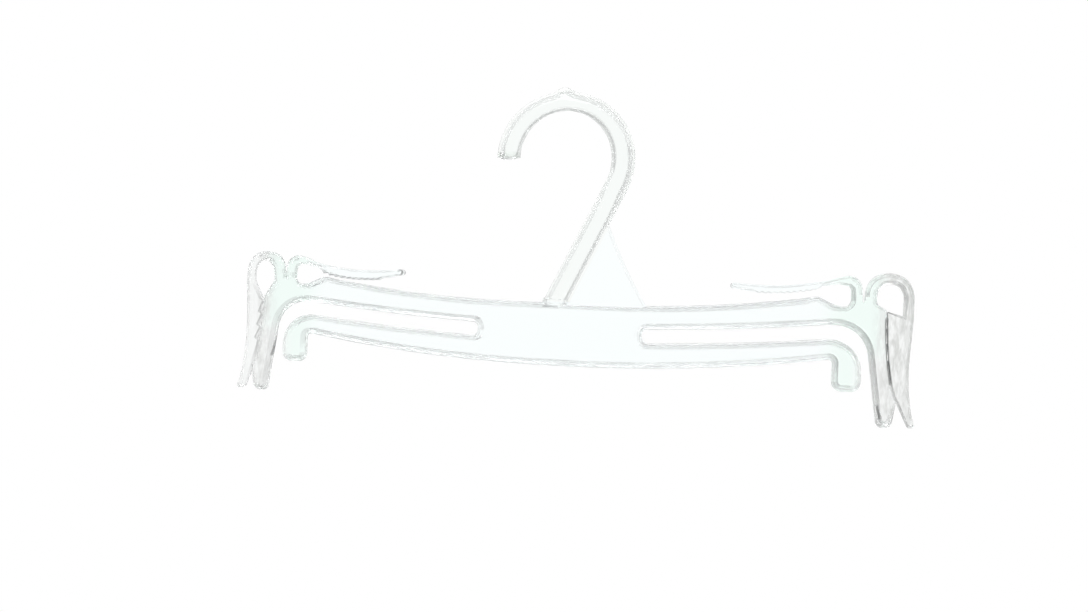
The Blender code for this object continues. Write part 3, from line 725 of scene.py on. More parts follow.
@dataclass(frozen=True)
class Plate:
    """Beam with its open-ended slots and strap fingers, and the two outer arms with their clip posts."""

    datum: EndDatum = EndDatum()
    height: float = 0.0253
    top_flat: float = 0.020
    top_rise: float = 0.0067
    bottom_flat: float = 0.005
    bottom_rise: float = 0.0082
    slot_height: float = 0.0052
    slot_reach: float = 0.0339
    slot_down: float = 0.0099
    slot_rise: float = 0.0059
    slot_round: float = 0.0022
    peak_in: float = 0.0174
    peak_round: float = 0.0022
    slot_bend_in: float = 0.0124
    lower_bend_round: float = 0.0125
    corner_in: float = 0.0110
    corner_round: float = 0.0014
    finger_width: float = 0.0112
    finger_down: float = 0.0292
    finger_round: float = 0.0038
    arm_bend_out: float = 0.0008
    arm_bend_round: float = 0.0125
    arm_tip_in: float = 0.0063
    arm_tip_out: float = 0.0120
    arm_tip_down: float = 0.0420
    arm_tip_round: float = 0.0027
    bulge_out: float = 0.0137
    bulge_down: float = 0.0318
    bulge_round: float = 0.0008
    waist_down: float = 0.0294
    shoulder_up: float = 0.0024
    left_shoulder_up: float = -0.0024
    shoulder_round: float = 0.0010
    outer_eye_up: float = 0.0046
    notch_in: float = 0.0080
    notch_up: float = 0.0032
    notch_start_in: float = 0.0110
    notch_start_up: float = 0.0038
    eye_round: float = 0.0028
    notch_round: float = 0.0016
    slit_foot_up: float = 0.0052
    rim: float = 0.0024
    post_rim: float = 0.0018
    slit_rim: float = 0.0003
    nip_rim: float = 0.0008
    rail_steps: int = 40
    arm_steps: int = 14

    @property
    def corner_reach(self) -> float:
        """Reach of the corner between the lower rail and the finger."""
        return self.datum.reach - self.corner_in

    @property
    def peak_reach(self) -> float:
        """Reach of the beam top's highest point."""
        return self.datum.reach - self.peak_in

    @property
    def slot_bend(self) -> float:
        """Reach where the slot starts to turn down."""
        return self.datum.reach - self.slot_bend_in

    def top(self, x: float) -> float:
        """Height of the top edge."""
        return self.datum.top + smile(x, self.top_flat, self.peak_reach, self.top_rise)

    def bottom(self, x: float) -> float:
        """Height of the bottom edge."""
        return self.datum.top - self.height + smile(x, self.bottom_flat, self.corner_reach, self.bottom_rise)

    def slot_top(self, x: float) -> float:
        """Height of a slot's upper edge."""
        return self.datum.top - self.slot_down + smile(x, 0.0, self.slot_bend, self.slot_rise)

    def slot_bottom(self, x: float) -> float:
        """Height of a slot's lower edge."""
        return self.slot_top(x) - self.slot_height

    def outline(self) -> Outline:
        """The plate's outline: its right half, closed with the mirror image of the left one.

        Returns:
            The outline.
        """
        line = self.half()
        line.close_with(replace(self, shoulder_up=self.left_shoulder_up).half())
        return line

    def half(self) -> Outline:
        """Half of the outline, from the bottom middle round the right end to the top middle.

        Returns:
            The half, with this plate's shoulder.
        """
        line = Outline(self.rim)
        line.run([(x, self.bottom(x)) for x in spread(0.0, self.corner_reach, self.rail_steps)[:-1]])
        self._draw_finger(line)
        self._draw_slot(line)
        self._draw_arm(line)
        self._draw_posts(line)
        line.corner(self.peak_reach, self.top(self.peak_reach), self.peak_round)
        line.run([(x, self.top(x)) for x in spread(self.peak_reach, 0.0, self.rail_steps)[1:]])
        return line

    def _draw_finger(self, line: Outline) -> None:
        """Draws the strap finger at the lower rail's end.

        Args:
            line: The outline that is being drawn.
        """
        outer = self.corner_reach + self.finger_width
        bottom = self.datum.top - self.finger_down
        line.corner(self.corner_reach, self.bottom(self.corner_reach), self.corner_round)
        line.corner(self.corner_reach, bottom, self.finger_round)
        line.corner(outer, bottom, self.finger_round)
        line.corner(outer, self.slot_bottom(self.slot_bend), self.lower_bend_round)

    def _draw_slot(self, line: Outline) -> None:
        """Draws the slot, in along its lower edge and out along its upper one.

        Args:
            line: The outline that is being drawn.
        """
        reaches = spread(self.slot_reach, self.slot_bend, self.rail_steps)
        line.run([(x, self.slot_bottom(x)) for x in reaches[-2:1:-1]])
        line.corner(self.slot_reach, self.slot_bottom(self.slot_reach), self.slot_round)
        line.corner(self.slot_reach, self.slot_top(self.slot_reach), self.slot_round)
        line.run([(x, self.slot_top(x)) for x in reaches[2:]])

    def _draw_arm(self, line: Outline) -> None:
        """Draws the outer arm, down its inner edge, round its tip and up its outer edge.

        Args:
            line: The outline that is being drawn.
        """
        datum = self.datum
        line.corner(datum.reach + self.arm_bend_out, self.slot_top(self.slot_bend), self.arm_bend_round)
        line.corner(*datum.place(self.arm_tip_in, -self.arm_tip_down), self.arm_tip_round)
        line.corner(*datum.place(self.arm_tip_out, -self.arm_tip_down), self.arm_tip_round)
        line.corner(*datum.place(self.bulge_out, -self.bulge_down), self.bulge_round)
        downs = spread(self.waist_down, max(self.shoulder_round - self.shoulder_up, 0.0), self.arm_steps)
        line.run([(datum.arm_outer(down), datum.top - down) for down in downs], self.nip_rim)
        line.corner(*datum.place(datum.shoulder_out, self.shoulder_up), self.shoulder_round)

    def _draw_posts(self, line: Outline) -> None:
        """Draws the two clip posts with the slit between them, and the notch beside the inner one.

        Args:
            line: The outline that is being drawn.
        """
        datum = self.datum
        slit = datum.post_slit / 2
        outer = slit + datum.outer_post_width
        inner = -slit - datum.inner_post_width
        outer_foot = datum.outer_foot_up - datum.seam
        inner_foot = datum.inner_foot_up - datum.seam
        for out, up, turn, rim in (
            (outer, self.outer_eye_up, self.eye_round, self.post_rim),
            (outer, outer_foot, 0.0, 0.0),
            (slit, outer_foot, 0.0, self.slit_rim),
            (slit, self.slit_foot_up, slit, self.slit_rim),
            (-slit, self.slit_foot_up, slit, self.slit_rim),
            (-slit, inner_foot, 0.0, 0.0),
            (inner, inner_foot, 0.0, self.post_rim),
            (inner, self.notch_up, self.eye_round, self.post_rim),
            (-self.notch_in, self.notch_up, self.notch_round, self.rim),
            (-self.notch_start_in, self.notch_start_up, self.notch_round, self.rim),
        ):
            line.corner(*datum.place(out, up), turn, rim)

    def build(self) -> bpy.types.Object:
        """Models the plate."""
        return Bench.flat_piece("frame_moulding", self.outline(), self.datum.thickness)


@dataclass(frozen=True)
class Hook:
    """Thick rod that bends round the rail, with its nub on the crown and its slanted leg down to the beam."""

    datum: EndDatum = EndDatum()
    inner_radius: float = 0.01895
    rod_width: float = 0.0095
    crown_width: float = 0.0078
    rod_depth: float = 0.0086
    leg_angle: float = math.radians(63.8)
    end_angle: float = math.radians(181.5)
    end_round: float = 0.0028
    nub_angle: float = math.radians(93.0)
    nub_length: float = 0.0112
    nub_rise: float = 0.0018
    foot_lap: float = 0.0018
    core_share: float = 0.86
    lip_share: float = 0.14
    lip_start_share: float = 0.80
    lip_fade: float = 0.0120
    pad_in: float = 0.0009
    pad_up: float = 0.0020
    pad_down: float = 0.0012
    pad_depth: float = 0.0082
    pad_rim: float = 0.0010
    sides: int = 96
    turn_steps: int = 120
    leg_steps: int = 44
    end_steps: int = 8

    @property
    def centre(self) -> Vector:
        """Centre of the crook."""
        return Vector((0.0, 0.0, -self.inner_radius))

    @property
    def leg_turn(self) -> float:
        """Angle round the crook where the leg starts."""
        return self.leg_angle - QUARTER_TURN

    @property
    def leg_way(self) -> Vector:
        """The way down the leg."""
        return Vector((-math.cos(self.leg_angle), 0.0, -math.sin(self.leg_angle)))

    def on_rod(self, angle: float) -> Vector:
        """Middle of the rod at an angle round the crook."""
        radius = self.inner_radius + self.rod_width / 2
        return self.centre + Vector((radius * math.cos(angle), 0.0, radius * math.sin(angle)))

    def leg_edge(self, height: float, side: int) -> float:
        """X of one of the leg's edges.

        Args:
            height: The height where it is wanted.
            side: -1 for the left edge, 1 for the right one.

        Returns:
            The X.
        """
        radius = self.inner_radius + self.rod_width / 2
        start = (radius * math.cos(self.leg_turn), radius * math.sin(self.leg_turn) - self.inner_radius)
        middle = start[0] + (height - start[1]) / math.tan(self.leg_angle)
        return middle + side * self.rod_width / 2 / math.sin(self.leg_angle)

    def build(self) -> bpy.types.Object:
        """Models the hook: a section spun round the crook, drawn out to the leg and cut level at the foot.

        Returns:
            The hook, closed, running into the plate at its foot.
        """
        start = self.on_rod(self.leg_turn)
        Bench.deselect()
        bpy.ops.mesh.primitive_circle_add(
            vertices=self.sides,
            radius=self.rod_width / 2,
            fill_type="NGON",
            location=start,
            rotation=(0.0, -self.leg_turn, 0.0),
        )
        obj = bpy.context.object
        obj.name = "hook"
        bpy.ops.object.transform_apply(location=True, rotation=True, scale=True)
        Bench.edit_all()
        turn = self.end_angle - self.leg_turn
        bpy.ops.mesh.spin(
            steps=self.turn_steps, angle=turn, center=self.centre, axis=(0.0, 1.0, 0.0), use_normal_flip=False
        )
        self._draw_leg(obj, start)
        bpy.ops.mesh.select_all(action="SELECT")
        bpy.ops.mesh.remove_doubles(threshold=Bench.MERGE)
        bpy.ops.mesh.normals_make_consistent(inside=False)
        self._select_section(obj, self.on_rod(self.end_angle))
        bpy.ops.mesh.bevel(
            offset=self.end_round, segments=self.end_steps, affect="EDGES", clamp_overlap=False
        )
        self._shape_rod(obj)
        bpy.ops.object.mode_set(mode="OBJECT")
        return obj

    def _select_section(self, obj: bpy.types.Object, middle: Vector) -> None:
        """Selects the rod's end section round a point.

        Args:
            obj: The piece.
            middle: The point.
        """
        bpy.ops.mesh.select_all(action="DESELECT")
        bm = bmesh.from_edit_mesh(obj.data)
        sections = [face for face in bm.faces if len(face.verts) == self.sides]
        nearest = min(sections, key=lambda face: (face.calc_center_median() - middle).length)
        nearest.select_set(True)
        bmesh.update_edit_mesh(obj.data)

    def _draw_leg(self, obj: bpy.types.Object, start: Vector) -> None:
        """Draws the first section out along the leg and cuts it level below the beam's top edge.

        Args:
            obj: The piece.
            start: Middle of the first section.
        """
        foot = self.datum.top - self.foot_lap
        length = (start.z - foot + self.rod_width) / math.sin(self.leg_angle)
        step = self.leg_way * (length / self.leg_steps)
        self._select_section(obj, start)
        for _ in range(self.leg_steps):
            bpy.ops.mesh.extrude_region_move(TRANSFORM_OT_translate={"value": step})
        bpy.ops.mesh.select_all(action="SELECT")
        bpy.ops.mesh.bisect(
            plane_co=(0.0, 0.0, foot), plane_no=(0.0, 0.0, -1.0), use_fill=True, clear_outer=True
        )

    def _section_place(self, place: Vector) -> tuple[float, float]:
        """Where in the rod's section a place lies.

        Args:
            place: The place.

        Returns:
            How far across the rod it lies, from 0 inside to 1 outside, and how far down the leg.
        """
        arm = place - self.centre
        down = arm.dot(self.leg_way)
        outwards = Vector((math.cos(self.leg_turn), 0.0, math.sin(self.leg_turn)))
        in_leg = down > 0.0 and arm.dot(outwards) > 0.0
        reach = arm.dot(outwards) if in_leg else math.hypot(arm.x, arm.z)
        share = (reach - self.inner_radius) / self.rod_width
        return min(max(share, Bench.MERGE), 1.0 - Bench.MERGE), down if in_leg else 0.0

    def _fullness(self, across: float, down: float) -> float:
        """Depth of the rod's section as a share of a plain circle's: a round core, and a thin lip outside it.

        Args:
            across: How far across the rod, from 0 at its inside to 1 at its outside.
            down: How far down the leg, where the core moves to the middle and both sides have a lip.

        Returns:
            The share.
        """
        half = self.core_share / 2
        middle = half + (0.5 - half) * eased(down / self.lip_fade)
        core = math.sqrt(max(1.0 - ((across - middle) / half) ** 2, 0.0))
        past = max(max(across, 1.0 - across) - self.lip_start_share, 0.0) / (1.0 - self.lip_start_share)
        lip = self.lip_share * math.sqrt(1.0 - past ** 2)
        return max(core, lip) / (2.0 * math.sqrt(across * (1.0 - across)))

    def build_pad(self) -> bpy.types.Object:
        """Models the low pad that the leg's foot stands on.

        Returns:
            The piece, closed.
        """
        top = self.datum.top
        left = self.leg_edge(top, -1) + self.pad_in
        right = self.leg_edge(top, 1) - self.pad_in
        low = top - self.pad_down
        high = top + self.pad_up
        line = Outline(self.pad_rim)
        for x, z in ((left, low), (right, low), (right, high), (left, high)):
            line.corner(x, z, self.pad_rim)
        return Bench.flat_piece("foot_pad", line, self.pad_depth)

    def _shape_rod(self, obj: bpy.types.Object) -> None:
        """Gives the rod its section, narrows it over the crown and raises the nub there.

        Args:
            obj: The piece.
        """
        nub_half = self.nub_length / 2 / (self.inner_radius + self.crown_width)
        bm = bmesh.from_edit_mesh(obj.data)
        for vert in bm.verts:
            vert.co.y *= self.rod_depth / self.rod_width * self._fullness(*self._section_place(vert.co))
            arm = vert.co - self.centre
            radius = math.hypot(arm.x, arm.z)
            angle = math.atan2(arm.z, arm.x)
            if not 0.0 < angle < math.pi:
                continue
            across = (radius - self.inner_radius) / self.rod_width
            width = self.rod_width + (self.crown_width - self.rod_width) * math.sin(angle) ** 2
            nub = max(1.0 - abs(angle - self.nub_angle) / nub_half, 0.0)
            rise = self.nub_rise * math.sin(QUARTER_TURN * nub) ** 2 * max(across, 0.0) ** 2
            scale = (self.inner_radius + across * width + rise) / radius
            vert.co.x = arm.x * scale
            vert.co.z = arm.z * scale + self.centre.z
        bmesh.update_edit_mesh(obj.data)


@dataclass(frozen=True)
class Gusset:
    """Thin triangular web in the corner between the leg and the beam."""

    plate: Plate = Plate()
    hook: Hook = Hook()
    thickness: float = 0.0014
    rim: float = 0.0016
    sink_share: float = 0.36
    height: float = 0.0315
    reach: float = 0.0352
    bow: float = 0.0008
    sink: float = 0.0030
    steps: int = 16

    def build(self) -> bpy.types.Object:
        """Models the web, which runs a little way into the leg and the beam.

        Returns:
            The piece, closed.
        """
        top = self.plate.datum.top
        apex_z = top + self.height
        apex = (self.hook.leg_edge(apex_z, 1), apex_z)
        foot = (self.reach, self.plate.top(self.reach))
        middle = ((apex[0] + foot[0]) / 2 - self.bow, (apex[1] + foot[1]) / 2 - self.bow)
        line = Outline(self.rim, self.sink_share)
        line.corner(apex[0] - self.sink, apex[1])
        line.corner(self.hook.leg_edge(top - self.sink, 1) - self.sink, top - self.sink)
        line.corner(self.reach, top - self.sink)
        line.run(bezier(foot, middle, middle, apex, self.steps))
        return Bench.flat_piece("web", line, self.thickness)


@dataclass(frozen=True)
class ClearPolystyrene:
    """Crystal polystyrene as it leaves a polished mould: clear, faintly tinted, with waves and flecks."""

    datum: EndDatum = EndDatum()
    plate_tint: Tint = (0.95, 1.0, 1.0, 1.0)
    hook_tint: Tint = (0.93, 0.955, 0.93, 1.0)
    corner_tint: Tint = (0.84, 0.97, 0.91, 1.0)
    jaw_tint: Tint = (0.93, 0.94, 0.93, 1.0)
    # Painted reflection of the dark surroundings at both ends
    painted_end_reflection: Tint = (0.55, 0.56, 0.54, 1.0)
    # Colour of the painted shade and the painted dark reflections
    painted_shade_colour: Tint = (0.02, 0.02, 0.02, 1.0)
    corner_start: float = 0.100
    corner_full: float = 0.114
    end_start: float = 0.1215
    end_full: float = 0.1300
    jaw_start: float = 0.1240
    arm_down: float = 0.0100
    left_jaw: float = 0.1285
    left_jaw_full: float = 0.1325
    left_jaw_share: float = 0.9
    edge_fade: float = 0.0008
    hook_reaches: Span = (2.0, 3.0)
    # Patchy pattern of the painted reflection at both ends
    reflection_stretch: Way = (1.0, 1.0, 0.3)
    reflection_mottle: Noise = Noise(420.0, 2.0, 0.7)
    reflection_mottle_ramp: Span = (0.40, 0.60)
    reflection_mottle_least: float = 0.10
    dark_from: float = 0.0008
    dark_full: float = 0.0014
    nip_in: float = 0.0002
    nip_out: float = 0.0005
    nip_fade: float = 0.0003
    nip_down: float = 0.0010
    nip_end_down: float = 0.0252
    left_nip: float = 0.25
    glint_out: float = -0.0025
    glint_lean: float = 0.27
    glint_half: float = 0.0004
    glint_level: float = 0.8
    left_glint: Span = (0.0190, 0.0268)
    right_glint: Span = (0.0340, 0.0382)
    foot_line_down: Span = (0.0013, 0.0019)
    foot_line_length: float = 0.0062
    foot_line_level: float = 0.5
    refraction: float = 1.59
    polish: float = 0.012
    haze: float = 0.035
    absorbed: Tint = (0.0, 0.78, 0.76, 1.0)
    density: float = 2.0
    body: float = 0.65
    waves: Noise = Noise(60.0, 1.0, 0.4)
    wave_height: float = 0.00012
    flecks: Noise = Noise(900.0, 3.0, 0.6)
    fleck_height: float = 0.000004
    scuffed_flecks: Span = (0.58, 0.72)
    scuffed_waves: Span = (0.45, 0.65)

    def put_on(self, obj: bpy.types.Object, fine_shade: float = 0.0) -> None:
        """Shades a piece smooth and gives it this finish.

        Args:
            obj: The piece.
            fine_shade: How dark the painted shade on its fine rims is, from 0 to 1.
        """
        Bench.smooth(obj)
        obj.data.materials.clear()
        obj.data.materials.append(self.material(obj.name, fine_shade))

    def material(self, name: str, fine_shade: float) -> bpy.types.Material:
        """The finish as one piece's material.

        Args:
            name: The piece's name.
            fine_shade: How dark the painted shade on its fine rims is, from 0 to 1.

        Returns:
            The material.
        """
        material = bpy.data.materials.new(name + "_polystyrene")
        tree = ShaderTree(material)
        place = tree.node("ShaderNodeTexCoord", output="Object")
        x, y, height = tree.split(place)
        waves = tree.noise(place, self.waves)
        flecks = tree.noise(place, self.flecks)
        scuffs = flecks.ramp(*self.scuffed_flecks) * waves.ramp(*self.scuffed_waves)
        # Painted shade along the lines where the outer clips close on their arms and on the fine rims, kept
        # near the faces, then the painted dark reflections; all are mixed in with the painted shade colour
        # and made opaque
        dark = self.painted_nip_shade(x, height)
        # Painted shade on the walls at the fine rims, as at the teeth
        if fine_shade > 0.0:
            layer = {"attribute_name": Bench.FINE_LAYER}
            fine = tree.node("ShaderNodeAttribute", layer, output=tree.ATTRIBUTE_VALUE)
            dark = dark.highest(fine * fine_shade)
        dark = (dark * abs(y).ramp(self.dark_from, self.dark_full)).highest(self.glints(x, height))
        wavy = tree.node("ShaderNodeBump", sockets={"Distance": self.wave_height, "Height": waves})
        relief = tree.node(
            "ShaderNodeBump",
            sockets={"Distance": self.fleck_height, "Height": flecks, "Normal": wavy},
        )
        surface = tree.node(
            "ShaderNodeBsdfPrincipled",
            sockets={
                "Base Color": tree.mixed(self.tint(tree, place), self.painted_shade_colour, dark),
                "Roughness": self.polish + self.haze * scuffs,
                "IOR": self.refraction,
                "Transmission Weight": 1.0,
                "Alpha": self.body + (1.0 - self.body) * dark,
                "Normal": relief,
            },
        )
        inside = tree.node(
            "ShaderNodeVolumeAbsorption", sockets={"Color": self.absorbed, "Density": self.density}
        )
        tree.node("ShaderNodeOutputMaterial", sockets={"Surface": surface, "Volume": inside})
        return material

    def tint(self, tree: ShaderTree, place: Wire) -> Wire:
        """Colour of the plastic: cool in the plate, green at its corners, grey in the hook and a little grey
        at the jaws and the outer arms' lower parts.

        At both ends a darker grey is painted reflection: it is patchy on the outer arms and the right jaw,
        where it stands in for what they reflect.

        Args:
            tree: The material's tree.
            place: The place on the piece.

        Returns:
            The colour.
        """
        x, _, height = tree.split(place)
        out = abs(x)
        reflection_place = tree.node("ShaderNodeVectorMath", {"operation": "MULTIPLY"}, {0: place, 1: self.reflection_stretch})
        reflection_patches = tree.noise(reflection_place, self.reflection_mottle).ramp(*self.reflection_mottle_ramp)
        reflection_patches = self.reflection_mottle_least + (1.0 - self.reflection_mottle_least) * reflection_patches
        left = 1.0 - x.ramp(0.0, self.nip_fade)
        left_jaw = out.ramp(self.left_jaw, self.left_jaw_full) * left * self.left_jaw_share
        # Painted reflection at both ends, patchy, and fainter at the left jaw
        ends = out.ramp(self.end_start, self.end_full) * reflection_patches * (1.0 - left_jaw)
        low = 1.0 - height.ramp(self.datum.top - 2 * self.arm_down, self.datum.top - self.arm_down)
        arms = low * out.ramp(self.corner_full, self.end_start)
        corners = out.ramp(self.corner_start, self.corner_full)
        colour = tree.mixed(self.plate_tint, self.corner_tint, corners)
        colour = tree.mixed(colour, self.jaw_tint, out.ramp(self.jaw_start, self.end_full).highest(arms))
        colour = tree.mixed(colour, self.painted_end_reflection, ends)
        return tree.mixed(colour, self.hook_tint, self.in_hook(x, height))

    def in_hook(self, x: Wire, height: Wire) -> Wire:
        """Tells the hook from the rest.

        Args:
            x: X of the place on the piece.
            height: Z of the place on the piece.

        Returns:
            1 in the hook, and 0 in the beam, the web and the clips.
        """
        hook = Hook()
        web_top = self.datum.top + Gusset().height
        from_leg = x - hook.leg_edge(0.0, 1) - height / math.tan(hook.leg_angle)
        below_top = 1.0 - height.ramp(web_top, web_top + self.edge_fade)
        in_web = from_leg.ramp(0.0, self.edge_fade) * below_top
        above_beam = height.ramp(self.datum.top, self.datum.top + self.edge_fade)
        near, far = (hook.inner_radius * share for share in self.hook_reaches)
        return above_beam * (1.0 - abs(x).ramp(near, far)) * (1.0 - in_web)

    def painted_nip_shade(self, x: Wire, height: Wire) -> Wire:
        """The painted shade along the line where an outer clip closes on its arm, which is faint at the left.

        Args:
            x: X of the place on the piece.
            height: Z of the place on the piece.

        Returns:
            Its strength, 0 elsewhere.
        """
        down = self.datum.top - height
        lean = down.highest(0.0) / self.datum.arm_lean_down
        edge = self.datum.arm_lean * lean * lean + self.datum.reach + self.datum.shoulder_out
        line = (abs(x) - edge).band(-self.nip_in, self.nip_out, self.nip_fade)
        line = line * down.band(self.nip_down, self.nip_end_down, self.nip_down)
        return line * (self.left_nip + (1.0 - self.left_nip) * x.ramp(0.0, self.nip_fade))

    def glints(self, x: Wire, height: Wire) -> Wire:
        """The short dark reflections along both outer arms' inner edges and the hook's foot.

        Args:
            x: X of the place on the piece.
            height: Z of the place on the piece.

        Returns:
            Their strength, 0 elsewhere.
        """
        down = self.datum.top - height
        away = abs(x) - down * self.glint_lean - (self.datum.reach + self.glint_out)
        line = away.band(-self.glint_half, self.glint_half, self.nip_fade)
        right = x.ramp(0.0, self.nip_fade)
        on_right = down.band(*self.right_glint, self.nip_down) * right
        on_left = down.band(*self.left_glint, self.nip_down) * (1.0 - right)
        start = Hook().leg_edge(self.datum.top, -1) + Hook().pad_in
        foot = x.band(start, start + self.foot_line_length, self.nip_fade)
        foot = foot * down.band(*self.foot_line_down, self.nip_fade)
        return (line * (on_right + on_left) * self.glint_level).highest(foot * self.foot_line_level)


@dataclass(frozen=True)
class Strip:
    """What both kinds of clip share: a sprung strip from its post round its loop and on to its arm."""

    side: Side
    datum: EndDatum = EndDatum()
    handle_share: float = 0.61
    rim_share: float = 0.42
    rim: float = 0.0017
    tooth_rim: float = 0.00035
    fine_shade: float = 0.0
    loop_steps: int = 24

    def quarter(self, foot: Point, crown: Point) -> list[Point]:
        """A quarter of a loop.

        Args:
            foot: Where it stands upright.
            crown: Middle of its crown, where it lies level.

        Returns:
            Its middle line, from the foot up.
        """
        rise = (crown[1] - foot[1]) * self.handle_share
        reach = (foot[0] - crown[0]) * self.handle_share
        return bezier(foot, (foot[0], foot[1] + rise), (crown[0] + reach, crown[1]), crown, self.loop_steps)

    def moulded(self, name: str, outline: Outline, finish: ClearPolystyrene) -> bpy.types.Object:
        """Models a clip of the strip's thickness and gives it its finish.

        Args:
            name: Its name.
            outline: Its outline.
            finish: Its finish.

        Returns:
            The clip.
        """
        obj = Bench.flat_piece(name, outline, self.datum.thickness, self.side)
        finish.put_on(obj, self.fine_shade)
        return obj


@dataclass(frozen=True)
class InnerClip(Strip):
    """Clip that loops inwards and lies along the beam's top, with a fine-toothed pad below and a bead."""

    crown_width: float = 0.0039
    root_width: float = 0.0027
    neck_width: float = 0.0021
    arm_width: float = 0.0027
    crown_up: float = 0.01305
    loop_radius: float = 0.00355
    crown_length: float = 0.0031
    arm_length: float = 0.0422
    arm_drop: float = 0.00345
    root_handle: float = 0.0122
    root_fall: float = 0.00315
    tip_handle: float = 0.0185
    tip_fall: float = 0.0019
    neck_out: float = 0.0050
    bead_radius: float = 0.0015
    bead_turn: float = math.radians(95.0)
    bead_flare: float = 0.0040
    bead_rim: float = 0.0009
    teeth_count: int = 10
    teeth_start: float = 0.0080
    teeth_end_in: float = 0.0082
    pad_start: float = 0.0062
    pad_depth: float = 0.0014
    tooth_depth: float = 0.0009
    bend_out: float = 0.0028
    bend_in: float = 0.0048
    pad_power: int = 4
    tooth_lean: float = 0.25
    end_steps: int = 8
    arm_steps: int = 48

    @property
    def crown(self) -> Point:
        """Middle of the loop's crown."""
        return self.datum.inner_post - self.loop_radius, self.datum.top + self.crown_up

    def width(self, distance: float) -> float:
        """Width of the arm, which narrows to its neck and widens to its bead.

        Args:
            distance: Distance from its root.

        Returns:
            The width.
        """
        if distance < self.neck_out:
            return self.root_width + (self.neck_width - self.root_width) * distance / self.neck_out
        share = min((distance - self.neck_out) / self.neck_out, 1.0)
        width = self.neck_width + (self.arm_width - self.neck_width) * share
        flare = max(1.0 - (self.arm_length - distance) / self.bead_flare, 0.0)
        return width + (2 * self.bead_radius - self.arm_width) * flare

    def middle(self) -> list[Point]:
        """Middle line of the arm.

        Returns:
            Its points, from the root out to the centre of the bead.
        """
        root = (self.crown[0] - self.crown_length, self.crown[1])
        tip = (root[0] - self.arm_length, root[1] - self.arm_drop)
        root_handle = (root[0] - self.root_handle, root[1] - self.root_fall)
        tip_handle = (tip[0] + self.tip_handle, tip[1] - self.tip_fall)
        return bezier(root, root_handle, tip_handle, tip, self.arm_steps)

    def loop(self) -> tuple[list[Point], list[Point]]:
        """Both sides of the loop, from the post to the arm's root.

        Returns:
            The points on the eye's side, and those on the outside.
        """
        foot = (self.datum.inner_post, self.datum.top + self.datum.inner_foot_up)
        path = self.quarter(foot, self.crown)
        post = self.datum.inner_post_width
        return strip_sides(path, blended([post, post, self.crown_width], len(path)))

    def underside(self, middle: list[Point], distance: float, tooth: float) -> Point:
        """Point of the arm's underside.

        Args:
            middle: The arm's middle line.
            distance: Its distance from the root.
            tooth: How far the tooth stands out there.

        Returns:
            The point.
        """
        x = middle[0][0] - distance
        pad_end = self.arm_length - self.bead_radius
        share = (distance - self.pad_start) / (pad_end - self.pad_start)
        pad = self.pad_depth * max(1.0 - (2.0 * share - 1.0) ** self.pad_power, 0.0)
        return x, height_on(middle, x) - self.width(distance) / 2 - pad - tooth

    def outline(self) -> Outline:
        """The clip's outline.

        Returns:
            The outline, from the post over the loop, out along the arm and back along its teeth.
        """
        middle = self.middle()
        root, tip = middle[0], middle[-1]
        pad_end = self.arm_length - self.bead_radius
        eye_side, outside = self.loop()
        narrow = self.rim_share * self.neck_width
        line = Outline(self.rim)
        line.run(outside[:-1])
        line.corner(*outside[-1], rim=narrow)
        line.run([(x, z + self.width(root[0] - x) / 2) for x, z in middle[1:-1]], narrow)
        bead = arc(tip, self.bead_radius, self.bead_turn, math.tau - self.bead_turn, self.loop_steps)
        line.run(bead, self.bead_rim)
        teeth_end = self.arm_length - self.teeth_end_in
        pitch = (teeth_end - self.teeth_start) / self.teeth_count
        below = [self.underside(middle, d, 0.0) for d in spread(0.0, self.teeth_start, self.loop_steps)[1:]]
        teeth = []
        for i in range(self.teeth_count):
            start = self.teeth_start + i * pitch
            teeth.append(self.underside(middle, start + pitch * self.tooth_lean, self.tooth_depth))
            teeth.append(self.underside(middle, start + pitch, 0.0))
        after = [self.underside(middle, d, 0.0) for d in spread(teeth_end, pad_end, self.end_steps)[1:]]
        line.run(after[::-1], narrow)
        for x, z in teeth[::-1]:
            line.corner(x, z, self.tooth_rim, self.tooth_rim)
        line.run(below[::-1], narrow)
        line.run(eye_side[:0:-1])
        line.corner(*eye_side[0], rim=0.0)
        return line

    def build(self, finish: ClearPolystyrene) -> bpy.types.Object:
        """Models and dresses the clip, and lets it bend round its loop.

        Args:
            finish: Its finish.

        Returns:
            The clip.
        """
        word = self.side.word
        obj = self.moulded(word + "_inner_clip", self.outline(), finish)
        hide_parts(word + "_inner_clip_spring", word + "_inner_clip_arm")
        sign = self.side.value
        start = (sign * (self.crown[0] + self.bend_out), 0.0, self.crown[1])
        end = (sign * (self.crown[0] - self.bend_in), 0.0, self.crown[1])
        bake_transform(obj, BODY_FRAME, word + "_inner_arm", start=start, end=end)
        return obj


